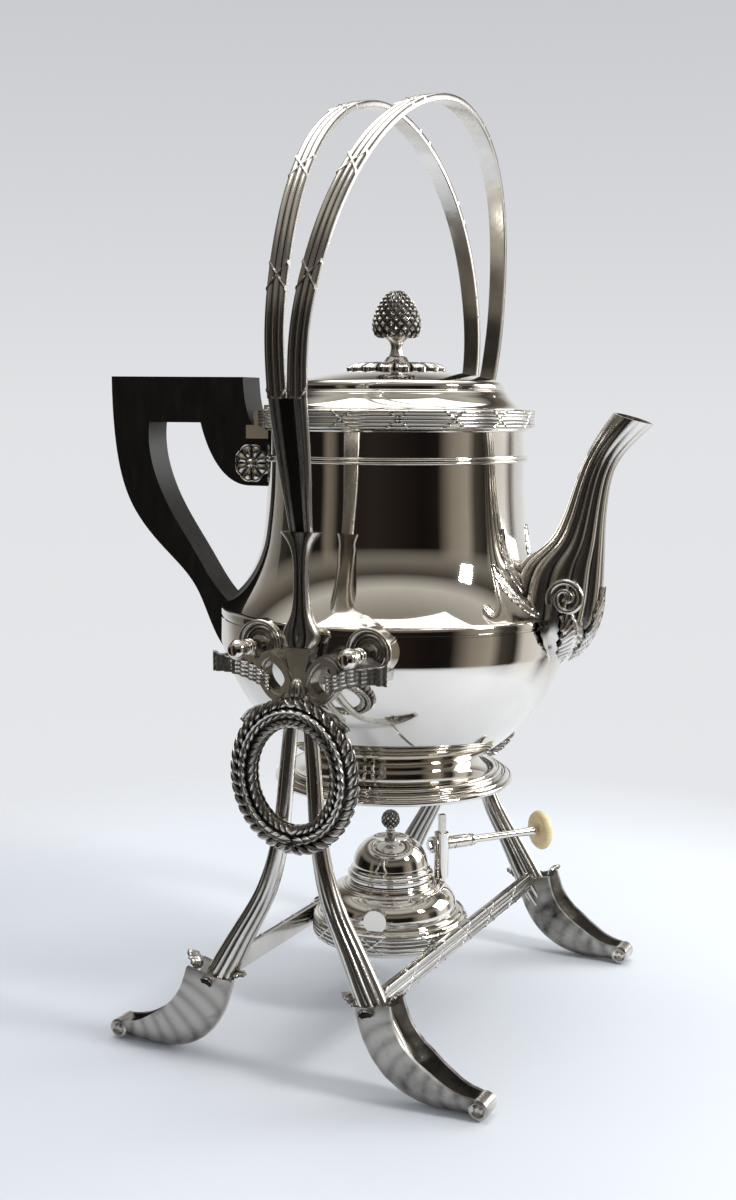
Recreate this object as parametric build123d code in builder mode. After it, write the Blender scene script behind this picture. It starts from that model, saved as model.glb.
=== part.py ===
"""Tilting kettle on an open stand with a spirit lamp.

Millimetres, +Z up. Each piece is drawn about the centre of the stand, and then
placed so that the origin is on the floor below the middle of the overall
length. The spout points to +X (front), the handle to -X (rear), and the two
side frames stand at -Y (right) and +Y (left).
"""

import os
from math import cos, pi, radians, sin

from build123d import *

# Centre of the stand, ahead of the middle of the overall length
STAND_X = 14.95

# Kettle, profile radii and heights
KETTLE_X = 1.5
WALL = 1.2
NECK_RADIUS = 59.3
NECK_TOP_Z = 283.0
WAIST_RADIUS = 61.2
WAIST_Z = 225.0
BAND_RADIUS = 81.0
BAND_TOP_Z = 191.7
BAND_BOTTOM_Z = 176.0
SEAM_Z = 188.6
BOWL_BOTTOM_RADIUS = 39.5
BOWL_BOTTOM_Z = 121.5
RIM_RADIUS = 63.6
RIM_BOTTOM_Z = 274.5
RIM_TOP_Z = 282.6
NECK_RING_RADIUS = 61.2
NECK_RING_BOTTOM_Z = 259.0
NECK_RING_HEIGHT = 3.3
FOOT_RING_RADIUS = 56.2
FOOT_RING_BOTTOM_Z = 109.6

# Lid and its hinge
LID_STEP_RADIUS = 52.5
LID_STEP_Z = 289.5
LID_SHOULDER_RADIUS = 48.8
LID_SHOULDER_Z = 295.0
LID_TOP_Z = 301.0
LID_WALL = 1.1
LID_SKIRT_GAP = 0.7
LID_SKIRT_DEPTH = 2.5
HINGE_X = -67.0
HINGE_Z = 279.0
KNUCKLE_RADIUS = 3.4
HINGE_PIN_RADIUS = 1.0
KNUCKLE_HALF_WIDTH = 2.7
BRACKET_HALF_WIDTH = 8.0
KNUCKLE_SIDE_GAP = 0.3
LEAF_BOTTOM_Z = 283.1
LEAF_THICKNESS = 1.5
FINIAL_RADIUS = 11.3
FINIAL_TOP_Z = 337.0
FINIAL_STEM_RADIUS = 3.5
LID_ROSETTE_RADIUS = 23.3
LID_ROSETTE_TOP_Z = 307.0
FINIAL_STUD_RADIUS = 1.6

# Handle
HANDLE_THICKNESS = 15.6
HANDLE_TOP_Z = 298.6
HANDLE_REAR_X = -153.0
ROSETTE_X = -70.8
ROSETTE_Z = 256.9
ROSETTE_RADIUS = 9.5
ROSETTE_THICKNESS = 2.4
STUD_RADIUS = 2.2
STUD_DEPTH = 7.0
TAIL_STUD_Z = 181.0
STUD_HEAD_RADIUS = 4.2
STUD_HEAD_THICKNESS = 1.5

# Spout
SPOUT_WALL = 1.5
SPOUT_HOLE_RADIUS = 9.0
SPOUT_HOLE_Z = 213.0
SPOUT_TIP_Z = 276.4
SPOUT_BACK_X = 105.6
SPOUT_BACK_Z = 282.0
SPOUT_TIP_X = 124.0

# Trunnions on which the kettle rests and tilts
TRUNNION_SPREAD = 26.1
TRUNNION_Z = 182.6
PIN_RADIUS = 2.6
PIN_INNER_Y = 74.0
PIN_BALL_RADIUS = 4.4
PIN_BALL_Y = 98.2
BOSS_RADIUS = 10.6
BOSS_FACE_Y = 80.7
CRADLE_CLEARANCE = 0.05

# Side frames
FRAME_INNER_Y = 84.3
FRAME_THICKNESS = 6.6
COLUMN_BOTTOM_Z = 184.0
COLUMN_TOP_Z = 232.4
COLUMN_WAIST = 3.5
CAPITAL_HALF_WIDTH = 10.2
BELL_HALF_WIDTH = 9.4
BOW_BOTTOM_Z = 160.0
LOOP_HALF_WIDTH = 8.6
WREATH_Y = 94.2
WREATH_Z = 130.2
WREATH_HALF_WIDTH = 23.8
WREATH_HALF_HEIGHT = 27.0
WREATH_BAND = 5.7
WREATH_HALF_DEPTH = 3.3

# Legs: centre line x, y, z and radius at four stations
LEG_STATIONS = (
    (3.2, 87.5, 166.0, 3.0),
    (10.6, 89.4, 95.0, 4.0),
    (25.6, 91.8, 58.5, 5.4),
    (36.2, 93.4, 38.5, 6.7),
)

# Feet
FOOT_Y = 95.4
FOOT_HALF_WIDTH = 8.6
FOOT_FLOOR_START_X = 66.0
FOOT_FLOOR_END_X = 83.5
FOOT_TIP_X = 92.0
FOOT_TIP_HALF_WIDTH = 5.8
TROUGH_WALL = 2.4

# Stretchers and the ring that holds the lamp
STRETCHER_X = 36.9
STRETCHER_THICKNESS = 3.4
STRETCHER_Z = 37.9
STRETCHER_HEIGHT = 9.0
STRETCHER_END_Y = 90.0
RING_RADIUS = 37.4
RING_BORE = 34.0
RING_TOP_Z = 42.1
RING_HEIGHT = 8.3

# Arch handle
ARCH_TOP_Z = 420.0
ARCH_SPLIT_Z = 287.0
ARCH_SPLIT_Y = 98.8
STRAP_THICKNESS = 3.4
STRAP_WIDTH = 8.5
ARCH_LEAN = 9.9
ARCH_HALF_SPAN = 102.3
STRAP_GAP_TOP = 17.1
STRAP_GAP_SPLIT = 4.6
ROOT_TOP_HALF_WIDTH = 8.9
ROOT_BOTTOM_HALF_WIDTH = 5.4

# Lamp
LAMP_CLEARANCE = 0.1
LAMP_WALL = 1.2
RESERVOIR_BOTTOM_Z = 30.5
FLANGE_RADIUS = 36.2
FLANGE_THICKNESS = 1.4
BULGE_RADIUS = 31.6
BULGE_Z = 49.6
SHOULDER_RADIUS = 21.5
RESERVOIR_TOP_Z = 58.0
COLLAR_RADIUS = 20.5
COLLAR_TOP_Z = 61.6
WICK_RADIUS = 5.0
WICK_GAP = 0.3
WICK_TOP_Z = 66.0
WICK_TUBE_WALL = 1.2
WICK_TUBE_TOP_Z = 65.0
WICK_TUBE_BOTTOM_Z = 50.0
CARRIER_BOTTOM_Z = 36.0
CARRIER_HEIGHT = 4.0
CARRIER_RADIUS = 7.6
FILLER_ANGLE = -76.5
FILLER_Z = 48.5
FILLER_HEAD_RADIUS = 5.4
FILLER_SHANK_RADIUS = 3.4
FILLER_HEAD_FACE = 33.6

# Wick regulator: a rack rod driven by a pinion on a radial spindle
REGULATOR_ANGLE = 52.4
SPINDLE_Z = 72.6
POST_RADIAL = 26.0
POST_RADIUS = 3.5
POST_TOP_Z = 79.5
POST_SEAT_Z = 57.2
GEAR_MODULE = 0.5
PINION_TEETH = 8
PINION_HALF_LENGTH = 1.8
BACKLASH = 0.17
ROD_HALF_WIDTH = 1.5
ROD_BACK = 2.6
ROD_TOP_Z = 88.5
ROD_CLEARANCE = 0.08
RACK_TOOTH_COUNT = 9
RACK_TRAVEL = 6.0
BARREL_RADIUS = 4.0
BARREL_HALF_LENGTH = 4.0
SPINDLE_RADIUS = 1.25
SPINDLE_CLEARANCE = 0.05
SPINDLE_INNER = 20.6
NUT_RADIUS = 2.4
NUT_LENGTH = 1.1
SOCKET_RADIUS = 3.2
SOCKET_LENGTH = 16.0
SOCKET_GAP = 0.3
ROD_GRIP_RADIUS = 1.9
DISC_RADIAL = 84.6
DISC_RADIUS = 9.8
DISC_THICKNESS = 4.4
DISC_CAP_RADIUS = 2.6
DISC_CAP_THICKNESS = 1.8

# Snuffer cap
CAP_SHOULDER_RADIUS = 18.0
CAP_SHOULDER_Z = 67.0
CAP_TOP_RADIUS = 8.5
CAP_TOP_Z = 79.6
CAP_WALL = 1.0
CAP_FINIAL_RADIUS = 4.6
CAP_FINIAL_TOP_Z = 93.1
CAP_STEM_RADIUS = 1.6

os.makedirs("parts", exist_ok=True)


def save(solid, name):
    """Place a finished piece, label it with its name and write it as a STEP file."""
    placed = solid.moved(Location((STAND_X, 0, 0)))
    placed.label = name
    export_step(placed, f"parts/{name}.step")


KETTLE_SECTION = Plane(origin=(KETTLE_X, 0, 0), x_dir=(1, 0, 0), z_dir=(0, -1, 0))
KETTLE_AXIS = Axis((KETTLE_X, 0, 0), (0, 0, 1))


# Kettle body above its seam, and the bowl soldered on below it
def kettle_outline(inset):
    """Half section of the kettle, open at the top, moved inwards by inset."""
    waist = ThreePointArc(
        (BAND_RADIUS - inset, BAND_TOP_Z),
        (68.5 - inset, 205.5),
        (WAIST_RADIUS - inset, WAIST_Z),
    )
    TangentArc(
        (WAIST_RADIUS - inset, WAIST_Z),
        (NECK_RADIUS - inset, NECK_RING_BOTTOM_Z),
        tangent=waist % 1,
    )
    Polyline(
        (NECK_RADIUS - inset, NECK_RING_BOTTOM_Z),
        (NECK_RADIUS - inset, NECK_TOP_Z),
        (0, NECK_TOP_Z),
        (0, BOWL_BOTTOM_Z + inset),
        (BOWL_BOTTOM_RADIUS - inset, BOWL_BOTTOM_Z + inset),
    )
    ThreePointArc(
        (BOWL_BOTTOM_RADIUS - inset, BOWL_BOTTOM_Z + inset),
        (67.3 - inset, 146.0 + inset / 2),
        (BAND_RADIUS - inset, BAND_BOTTOM_Z),
    )
    Line((BAND_RADIUS - inset, BAND_BOTTOM_Z), (BAND_RADIUS - inset, BAND_TOP_Z))


def kettle_block(inset):
    """Solid of revolution inside the kettle outline."""
    with BuildPart() as block:
        with BuildSketch(KETTLE_SECTION):
            with BuildLine():
                kettle_outline(inset)
            make_face()
        revolve(axis=KETTLE_AXIS)
    return block.part


kettle_outside = kettle_block(0)
kettle_inside = kettle_block(WALL)

with BuildPart() as kettle_body:
    add(kettle_outside)
    add(kettle_inside, mode=Mode.SUBTRACT)
    with BuildSketch(Plane.YZ.offset(KETTLE_X + WAIST_RADIUS - 15)):
        with Locations((0, SPOUT_HOLE_Z)):
            Circle(SPOUT_HOLE_RADIUS)
    extrude(amount=30, mode=Mode.SUBTRACT)
    with BuildSketch(Plane.YZ.offset(KETTLE_X - BAND_RADIUS - WALL)):
        with Locations((0, TAIL_STUD_Z)):
            Circle(STUD_RADIUS)
    extrude(amount=4 * WALL, mode=Mode.SUBTRACT)
for name, keep in (("kettle_body", Keep.TOP), ("kettle_bowl", Keep.BOTTOM)):
    save(split(kettle_body.part, bisect_by=Plane.XY.offset(SEAM_Z), keep=keep), name)


# Mouldings round the neck, and the hollow foot ring
def turned_ring(points):
    """Ring of revolution about the kettle axis, from (radius, height) points."""
    with BuildPart() as ring:
        with BuildSketch(KETTLE_SECTION):
            with BuildLine():
                Polyline(*points, close=True)
            make_face()
        revolve(axis=KETTLE_AXIS)
    return ring.part


RIM_BEVEL = 0.8
kettle_rim = turned_ring((
    (NECK_RADIUS, RIM_BOTTOM_Z - 1.6),
    (NECK_RADIUS + 1.2, RIM_BOTTOM_Z - 1.2),
    (NECK_RADIUS + 1.6, RIM_BOTTOM_Z),
    (RIM_RADIUS - RIM_BEVEL, RIM_BOTTOM_Z),
    (RIM_RADIUS, RIM_BOTTOM_Z + RIM_BEVEL),
    (RIM_RADIUS, RIM_TOP_Z - RIM_BEVEL),
    (RIM_RADIUS - RIM_BEVEL, RIM_TOP_Z),
    (NECK_RADIUS, RIM_TOP_Z),
))
save(kettle_rim, "kettle_rim")

ring_mid = NECK_RING_BOTTOM_Z + NECK_RING_HEIGHT / 2
neck_ring = turned_ring((
    (NECK_RADIUS, NECK_RING_BOTTOM_Z),
    (NECK_RING_RADIUS, NECK_RING_BOTTOM_Z + 0.5),
    (NECK_RING_RADIUS, ring_mid - 0.5),
    (NECK_RING_RADIUS - 0.6, ring_mid),
    (NECK_RING_RADIUS, ring_mid + 0.5),
    (NECK_RING_RADIUS, NECK_RING_BOTTOM_Z + NECK_RING_HEIGHT - 0.5),
    (NECK_RADIUS, NECK_RING_BOTTOM_Z + NECK_RING_HEIGHT),
))
save(neck_ring, "neck_ring")

FOOT_WALL = 1.6
with BuildPart() as kettle_foot:
    with BuildSketch(KETTLE_SECTION):
        with BuildLine():
            Line((36.5, BOWL_BOTTOM_Z), (BOWL_BOTTOM_RADIUS, BOWL_BOTTOM_Z))
            ThreePointArc((BOWL_BOTTOM_RADIUS, BOWL_BOTTOM_Z), (42.5, 116.6), (49.5, 115.2))
            Polyline(
                (49.5, 115.2),
                (51.0, 114.2),
                (51.0, 113.0),
                (54.5, 112.6),
                (FOOT_RING_RADIUS, 111.4),
                (FOOT_RING_RADIUS, FOOT_RING_BOTTOM_Z),
                (FOOT_RING_RADIUS - FOOT_WALL, FOOT_RING_BOTTOM_Z),
                (FOOT_RING_RADIUS - FOOT_WALL, 111.0),
                (48.5, 111.6),
            )
            ThreePointArc((48.5, 111.6), (39.8, 114.6), (36.5, BOWL_BOTTOM_Z))
        make_face()
    revolve(axis=KETTLE_AXIS)
save(kettle_foot.part, "kettle_foot")


# Spout: horizontal ellipses (height, rear x, front x, half width) lofted upwards
SPOUT_STATIONS = (
    (171.5, 70.0, 86.3, 6.5),
    (180.0, 64.0, 94.6, 12.5),
    (190.0, 60.0, 100.0, 15.5),
    (202.0, 60.0, 102.3, 15.5),
    (214.0, 64.0, 102.7, 13.6),
    (225.0, 76.5, 102.7, 11.0),
    (234.0, 82.5, 102.8, 9.4),
    (247.0, 87.3, 103.9, 8.0),
    (258.0, 91.0, 106.0, 7.5),
    (268.0, 96.2, 112.4, 8.3),
    (277.0, 101.6, 123.5, 9.6),
    (284.0, 107.0, 133.0, 10.8),
)


def spout_block(inset, stations):
    """Loft of the spout's ellipses, each made smaller by inset all round."""
    with BuildPart() as block:
        for height, rear, front, half_width in stations:
            centre = Plane.XY.offset(height)
            with BuildSketch(centre):
                with Locations(((rear + front) / 2, 0)):
                    Ellipse((front - rear) / 2 - inset, half_width - inset)
        loft()
    return block.part


mouth_slope = (SPOUT_TIP_Z - SPOUT_BACK_Z) / (SPOUT_TIP_X - SPOUT_BACK_X)
mouth_plane = Plane(
    origin=(SPOUT_BACK_X, 0, SPOUT_BACK_Z),
    x_dir=(1, 0, mouth_slope),
    z_dir=(-mouth_slope, 0, 1),
)
spout_bore = spout_block(SPOUT_WALL, SPOUT_STATIONS[3:])

with BuildPart() as spout:
    add(spout_block(0, SPOUT_STATIONS))
    split(bisect_by=mouth_plane, keep=Keep.BOTTOM)
    add(kettle_outside, mode=Mode.SUBTRACT)
    add(spout_bore, mode=Mode.SUBTRACT)
save(spout.part, "spout")

# Handle: a flat blank, open towards the kettle, with a lobe at the neck
LOBE_FACE_X = -62.4
with BuildPart() as handle:
    with BuildSketch(Plane.XZ):
        with BuildLine():
            Line((-76.2, HANDLE_TOP_Z - 0.8), (HANDLE_REAR_X, HANDLE_TOP_Z))
            Spline(
                (HANDLE_REAR_X, HANDLE_TOP_Z),
                (-151.4, 268.0),
                (-142.5, 236.4),
                (-122.0, 213.0),
                (-104.7, 196.1),
                (-91.3, 170.5),
                (-82.0, 160.5),
            )
            Line((-82.0, 160.5), (KETTLE_X - BAND_RADIUS, 160.5))
            Line((KETTLE_X - BAND_RADIUS, 160.5), (KETTLE_X - BAND_RADIUS, 186.0))
            Spline(
                (KETTLE_X - BAND_RADIUS, 186.0),
                (-86.7, 190.4),
                (-103.1, 210.7),
                (-121.3, 237.4),
                (-129.7, 258.0),
                (-130.6, 276.0),
            )
            Line((-130.6, 276.0), (-100.5, 276.0))
            Spline((-100.5, 276.0), (-94.5, 261.0), (-84.5, 249.6), (-72.0, 246.0))
            Line((-72.0, 246.0), (LOBE_FACE_X, 246.0))
            Line((LOBE_FACE_X, 246.0), (LOBE_FACE_X, 267.6))
            Spline((LOBE_FACE_X, 267.6), (-71.0, 275.0), (-75.2, 287.0), (-76.2, HANDLE_TOP_Z - 0.8))
        make_face()
    extrude(amount=HANDLE_THICKNESS / 2, both=True)
    with BuildSketch(Plane.YZ.offset(LOBE_FACE_X)):
        with Locations((0, ROSETTE_Z)):
            Circle(STUD_RADIUS)
    extrude(amount=-STUD_DEPTH, mode=Mode.SUBTRACT)
    with BuildSketch(Plane.YZ.offset(KETTLE_X - BAND_RADIUS)):
        with Locations((0, TAIL_STUD_Z)):
            Circle(STUD_RADIUS)
    extrude(amount=-STUD_DEPTH, mode=Mode.SUBTRACT)
    add(kettle_outside, mode=Mode.SUBTRACT)
save(handle.part, "handle")

with BuildPart() as handle_studs:
    with BuildSketch(Plane.YZ.offset(LOBE_FACE_X - STUD_DEPTH)):
        with Locations((0, ROSETTE_Z)):
            Circle(STUD_RADIUS)
    extrude(until=Until.NEXT, target=kettle_outside)
    with BuildSketch(Plane.YZ.offset(KETTLE_X - BAND_RADIUS - STUD_DEPTH)):
        with Locations((0, TAIL_STUD_Z)):
            Circle(STUD_RADIUS)
    extrude(amount=STUD_DEPTH + WALL)
    with BuildSketch(Plane.YZ.offset(KETTLE_X - BAND_RADIUS + WALL)):
        with Locations((0, TAIL_STUD_Z)):
            Circle(STUD_HEAD_RADIUS)
    extrude(amount=STUD_HEAD_THICKNESS)
    add(kettle_body.part, mode=Mode.SUBTRACT)
    add(neck_ring, mode=Mode.SUBTRACT)
save(handle_studs.part, "handle_studs")

with BuildPart() as handle_rosettes:
    rosette_axis = Axis((ROSETTE_X, 0, ROSETTE_Z), (0, 1, 0))
    rosette_face = HANDLE_THICKNESS / 2
    with BuildSketch(Plane.XY.offset(ROSETTE_Z)):
        with BuildLine():
            Polyline(
                (ROSETTE_X, rosette_face),
                (ROSETTE_X + ROSETTE_RADIUS, rosette_face),
                (ROSETTE_X + ROSETTE_RADIUS, rosette_face + 0.8),
                (ROSETTE_X + 0.72 * ROSETTE_RADIUS, rosette_face + ROSETTE_THICKNESS),
                (ROSETTE_X + 0.36 * ROSETTE_RADIUS, rosette_face + 1.0),
                (ROSETTE_X + 0.2 * ROSETTE_RADIUS, rosette_face + ROSETTE_THICKNESS + 0.6),
                (ROSETTE_X, rosette_face + ROSETTE_THICKNESS + 0.9),
                close=True,
            )
        make_face()
    revolve(axis=rosette_axis)
    mirror(about=Plane.XZ)
save(handle_rosettes.part, "handle_rosettes")

# Hinge bracket on the rim, against the handle
lid_knuckle_gap = KNUCKLE_HALF_WIDTH + KNUCKLE_SIDE_GAP
with BuildPart() as hinge_bracket:
    with BuildSketch(Plane.XZ.offset(-BRACKET_HALF_WIDTH)):
        with BuildLine():
            Polyline(
                (HINGE_X - 7.5, 268.6),
                (HINGE_X + 9.0, 268.6),
                (HINGE_X + 9.0, HINGE_Z - 1.0),
                (HINGE_X - 3.0, HINGE_Z - 1.0),
                (HINGE_X - 3.0, 275.0),
                (HINGE_X - 7.5, 275.0),
                close=True,
            )
        make_face()
        with Locations((HINGE_X, HINGE_Z)):
            Circle(KNUCKLE_RADIUS)
            Circle(HINGE_PIN_RADIUS, mode=Mode.SUBTRACT)
    extrude(amount=2 * BRACKET_HALF_WIDTH)
    with BuildSketch(Plane.XZ.offset(-lid_knuckle_gap)):
        with Locations((HINGE_X, HINGE_Z + 5)):
            Rectangle(30, 2 * (5 + KNUCKLE_RADIUS + KNUCKLE_SIDE_GAP))
    extrude(amount=2 * lid_knuckle_gap, mode=Mode.SUBTRACT)
    add(kettle_outside, mode=Mode.SUBTRACT)
    add(kettle_rim, mode=Mode.SUBTRACT)
    add(handle.part, mode=Mode.SUBTRACT)
save(hinge_bracket.part, "hinge_bracket")

with BuildPart() as hinge_pin:
    with BuildSketch(Plane.XZ.offset(-BRACKET_HALF_WIDTH)):
        with Locations((HINGE_X, HINGE_Z)):
            Circle(HINGE_PIN_RADIUS)
    extrude(amount=2 * BRACKET_HALF_WIDTH)
save(hinge_pin.part, "hinge_pin")


# Lid
def lid_outline(inset):
    """Half section of the lid above its seat, moved inwards by inset."""
    ThreePointArc(
        (NECK_RADIUS + 0.7 - inset, NECK_TOP_Z),
        (55.3 - inset, 285.4 - inset / 4),
        (LID_STEP_RADIUS - inset, LID_STEP_Z - inset),
    )
    Polyline(
        (LID_STEP_RADIUS - inset, LID_STEP_Z - inset),
        (LID_SHOULDER_RADIUS + 1.4 - inset, 290.4 - inset),
        (LID_SHOULDER_RADIUS - inset, LID_SHOULDER_Z - inset),
    )
    ThreePointArc(
        (LID_SHOULDER_RADIUS - inset, LID_SHOULDER_Z - inset),
        (26.0, 299.8 - inset),
        (0, LID_TOP_Z - inset),
    )
    Polyline(
        (0, LID_TOP_Z - inset),
        (0, NECK_TOP_Z),
        (NECK_RADIUS + 0.7 - inset, NECK_TOP_Z),
    )


def lid_block(inset):
    """Solid of revolution inside the lid outline."""
    with BuildPart() as block:
        with BuildSketch(KETTLE_SECTION):
            with BuildLine():
                lid_outline(inset)
            make_face()
        revolve(axis=KETTLE_AXIS)
    return block.part


lid_outside = lid_block(0)
skirt_radius = NECK_RADIUS - WALL - LID_SKIRT_GAP
with BuildPart() as lid_seat:
    add(lid_outside)
    with BuildSketch(Plane.XY.offset(NECK_TOP_Z)):
        with Locations((KETTLE_X, 0)):
            Circle(NECK_RADIUS + 1)
            Circle(skirt_radius - LID_WALL, mode=Mode.SUBTRACT)
    extrude(amount=LID_WALL, mode=Mode.INTERSECT)

with BuildPart() as lid_dome:
    add(lid_outside)
    add(lid_block(1.5 * LID_WALL), mode=Mode.SUBTRACT)
    add(lid_seat.part)
    with BuildSketch(Plane.XY.offset(NECK_TOP_Z)):
        with Locations((KETTLE_X, 0)):
            Circle(skirt_radius)
            Circle(skirt_radius - LID_WALL, mode=Mode.SUBTRACT)
    extrude(amount=-LID_SKIRT_DEPTH)
    with BuildSketch(Plane.XY.offset(LID_SHOULDER_Z)):
        with Locations((KETTLE_X, 0)):
            Circle(FINIAL_STUD_RADIUS)
    extrude(amount=LID_TOP_Z - LID_SHOULDER_Z + 1, mode=Mode.SUBTRACT)
save(lid_dome.part, "lid_dome")

with BuildPart() as lid_hinge_leaf:
    with BuildSketch(Plane.XZ.offset(-KNUCKLE_HALF_WIDTH)):
        with Locations((HINGE_X, HINGE_Z)):
            Circle(KNUCKLE_RADIUS)
        with BuildLine():
            Polyline(
                (HINGE_X - 0.6, HINGE_Z),
                (HINGE_X + 1.8, HINGE_Z),
                (HINGE_X + 1.8, LEAF_BOTTOM_Z),
                (HINGE_X + 14.0, LEAF_BOTTOM_Z),
                (HINGE_X + 14.0, LEAF_BOTTOM_Z + LEAF_THICKNESS),
                (HINGE_X - 0.6, LEAF_BOTTOM_Z + LEAF_THICKNESS),
                close=True,
            )
        make_face()
        with Locations((HINGE_X, HINGE_Z)):
            Circle(HINGE_PIN_RADIUS + CRADLE_CLEARANCE, mode=Mode.SUBTRACT)
    extrude(amount=2 * KNUCKLE_HALF_WIDTH)
    add(lid_outside, mode=Mode.SUBTRACT)
save(lid_hinge_leaf.part, "lid_hinge_leaf")

with BuildPart() as lid_rosette:
    with BuildSketch(KETTLE_SECTION):
        with BuildLine():
            Polyline(
                (FINIAL_STUD_RADIUS, LID_ROSETTE_TOP_Z - 8),
                (LID_ROSETTE_RADIUS - 4, LID_ROSETTE_TOP_Z - 8),
                (LID_ROSETTE_RADIUS, 301.6),
                (LID_ROSETTE_RADIUS - 1.5, 302.4),
            )
            ThreePointArc(
                (LID_ROSETTE_RADIUS - 1.5, 302.4),
                (13.0, 302.4),
                (FINIAL_STEM_RADIUS + 1, LID_ROSETTE_TOP_Z),
            )
            Polyline(
                (FINIAL_STEM_RADIUS + 1, LID_ROSETTE_TOP_Z),
                (FINIAL_STUD_RADIUS, LID_ROSETTE_TOP_Z),
                (FINIAL_STUD_RADIUS, LID_ROSETTE_TOP_Z - 8),
            )
        make_face()
    revolve(axis=KETTLE_AXIS)
    add(lid_outside, mode=Mode.SUBTRACT)
save(lid_rosette.part, "lid_rosette")

finial_nut_top = LID_TOP_Z - 1.5 * LID_WALL
with BuildPart() as lid_finial:
    with BuildSketch(KETTLE_SECTION):
        with BuildLine():
            Polyline(
                (0, finial_nut_top - 4),
                (FINIAL_STUD_RADIUS, finial_nut_top - 4),
                (FINIAL_STUD_RADIUS, LID_ROSETTE_TOP_Z),
                (FINIAL_STEM_RADIUS, LID_ROSETTE_TOP_Z),
                (FINIAL_STEM_RADIUS - 0.6, 310.5),
                (FINIAL_STEM_RADIUS, 313.8),
            )
            ThreePointArc((FINIAL_STEM_RADIUS, 313.8), (9.6, 316.6), (FINIAL_RADIUS, 321.6))
            Spline((FINIAL_RADIUS, 321.6), (7.0, 331.2), (0, FINIAL_TOP_Z))
            Line((0, FINIAL_TOP_Z), (0, finial_nut_top - 4))
        make_face()
    revolve(axis=KETTLE_AXIS)
save(lid_finial.part, "lid_finial")

with BuildPart() as finial_nut:
    with BuildSketch(Plane.XY.offset(finial_nut_top)):
        with Locations((KETTLE_X, 0)):
            RegularPolygon(5, 6)
            Circle(FINIAL_STUD_RADIUS, mode=Mode.SUBTRACT)
    extrude(amount=-3)
    add(lid_dome.part, mode=Mode.SUBTRACT)
save(finial_nut.part, "finial_nut")

# Trunnions: four pins with ball ends, each in a turned boss on the band
TRUNNION_PLACES = tuple(
    (KETTLE_X + along * TRUNNION_SPREAD, across) for along in (-1, 1) for across in (-1, 1)
)
with BuildPart() as trunnion_bosses:
    for pin_x, across in TRUNNION_PLACES:
        with BuildSketch(Plane.XY.offset(TRUNNION_Z)):
            with BuildLine():
                Polyline(
                    (pin_x + PIN_RADIUS, across * 62),
                    (pin_x + BOSS_RADIUS, across * 62),
                    (pin_x + BOSS_RADIUS, across * (BOSS_FACE_Y - 0.8)),
                    (pin_x + BOSS_RADIUS - 0.8, across * BOSS_FACE_Y),
                    (pin_x + BOSS_RADIUS - 2.2, across * (BOSS_FACE_Y - 0.2)),
                    (pin_x + BOSS_RADIUS - 3.2, across * (BOSS_FACE_Y - 1.4)),
                    (pin_x + PIN_RADIUS + 2.4, across * (BOSS_FACE_Y - 1.6)),
                    (pin_x + PIN_RADIUS + 1.0, across * BOSS_FACE_Y),
                    (pin_x + PIN_RADIUS, across * BOSS_FACE_Y),
                    close=True,
                )
            make_face()
        revolve(axis=Axis((pin_x, 0, TRUNNION_Z), (0, 1, 0)))
    add(kettle_outside, mode=Mode.SUBTRACT)
save(trunnion_bosses.part, "trunnion_bosses")

with BuildPart() as trunnion_pins:
    for pin_x, across in TRUNNION_PLACES:
        with BuildSketch(Plane.XZ.offset(-across * PIN_BALL_Y)):
            with Locations((pin_x, TRUNNION_Z)):
                Circle(PIN_RADIUS)
        extrude(amount=across * (PIN_BALL_Y - PIN_INNER_Y))
        with Locations((pin_x, across * PIN_BALL_Y, TRUNNION_Z)):
            Sphere(PIN_BALL_RADIUS)
    add(kettle_outside, mode=Mode.SUBTRACT)
save(trunnion_pins.part, "trunnion_pins")

# Side frames: each piece is drawn once at +Y and mirrored to -Y
SIDES = {"left": False, "right": True}
frame_middle_y = FRAME_INNER_Y + FRAME_THICKNESS / 2
frame_outer_y = FRAME_INNER_Y + FRAME_THICKNESS


def save_pair(solid, name):
    """Write a +Y piece as the left one and its mirror image as the right one."""
    save(solid, f"{name}_left")
    save(mirror(solid, about=Plane.XZ), f"{name}_right")


def column_edge(side):
    """One edge of the column's front view, from the bell up to the capital."""
    Polyline((0, COLUMN_BOTTOM_Z), (side * 6.4, COLUMN_BOTTOM_Z), (side * BELL_HALF_WIDTH, 189.0))
    Spline(
        (side * BELL_HALF_WIDTH, 189.0),
        (side * 5.6, 196.4),
        (side * COLUMN_WAIST, 207.0),
        (side * COLUMN_WAIST, 219.0),
        (side * 5.8, 228.0),
        (side * CAPITAL_HALF_WIDTH, COLUMN_TOP_Z - 1.2),
    )
    Polyline(
        (side * CAPITAL_HALF_WIDTH, COLUMN_TOP_Z - 1.2),
        (side * CAPITAL_HALF_WIDTH, COLUMN_TOP_Z),
        (0, COLUMN_TOP_Z),
    )


with BuildPart() as column:
    with BuildSketch(Plane.XZ.offset(-frame_outer_y)):
        with BuildLine():
            column_edge(1)
            column_edge(-1)
        make_face()
    extrude(amount=FRAME_THICKNESS)
    with BuildSketch(Plane.YZ):
        with BuildLine():
            Polyline(
                (FRAME_INNER_Y, COLUMN_BOTTOM_Z),
                (FRAME_INNER_Y, COLUMN_TOP_Z),
                (frame_outer_y, COLUMN_TOP_Z),
                (frame_middle_y + 2.2, 222.0),
                (frame_middle_y + 2.0, 204.0),
                (frame_outer_y, 188.0),
                (frame_outer_y, COLUMN_BOTTOM_Z),
                close=True,
            )
        make_face()
    extrude(amount=CAPITAL_HALF_WIDTH + 1, both=True, mode=Mode.INTERSECT)
save_pair(column.part, "column")

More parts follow.
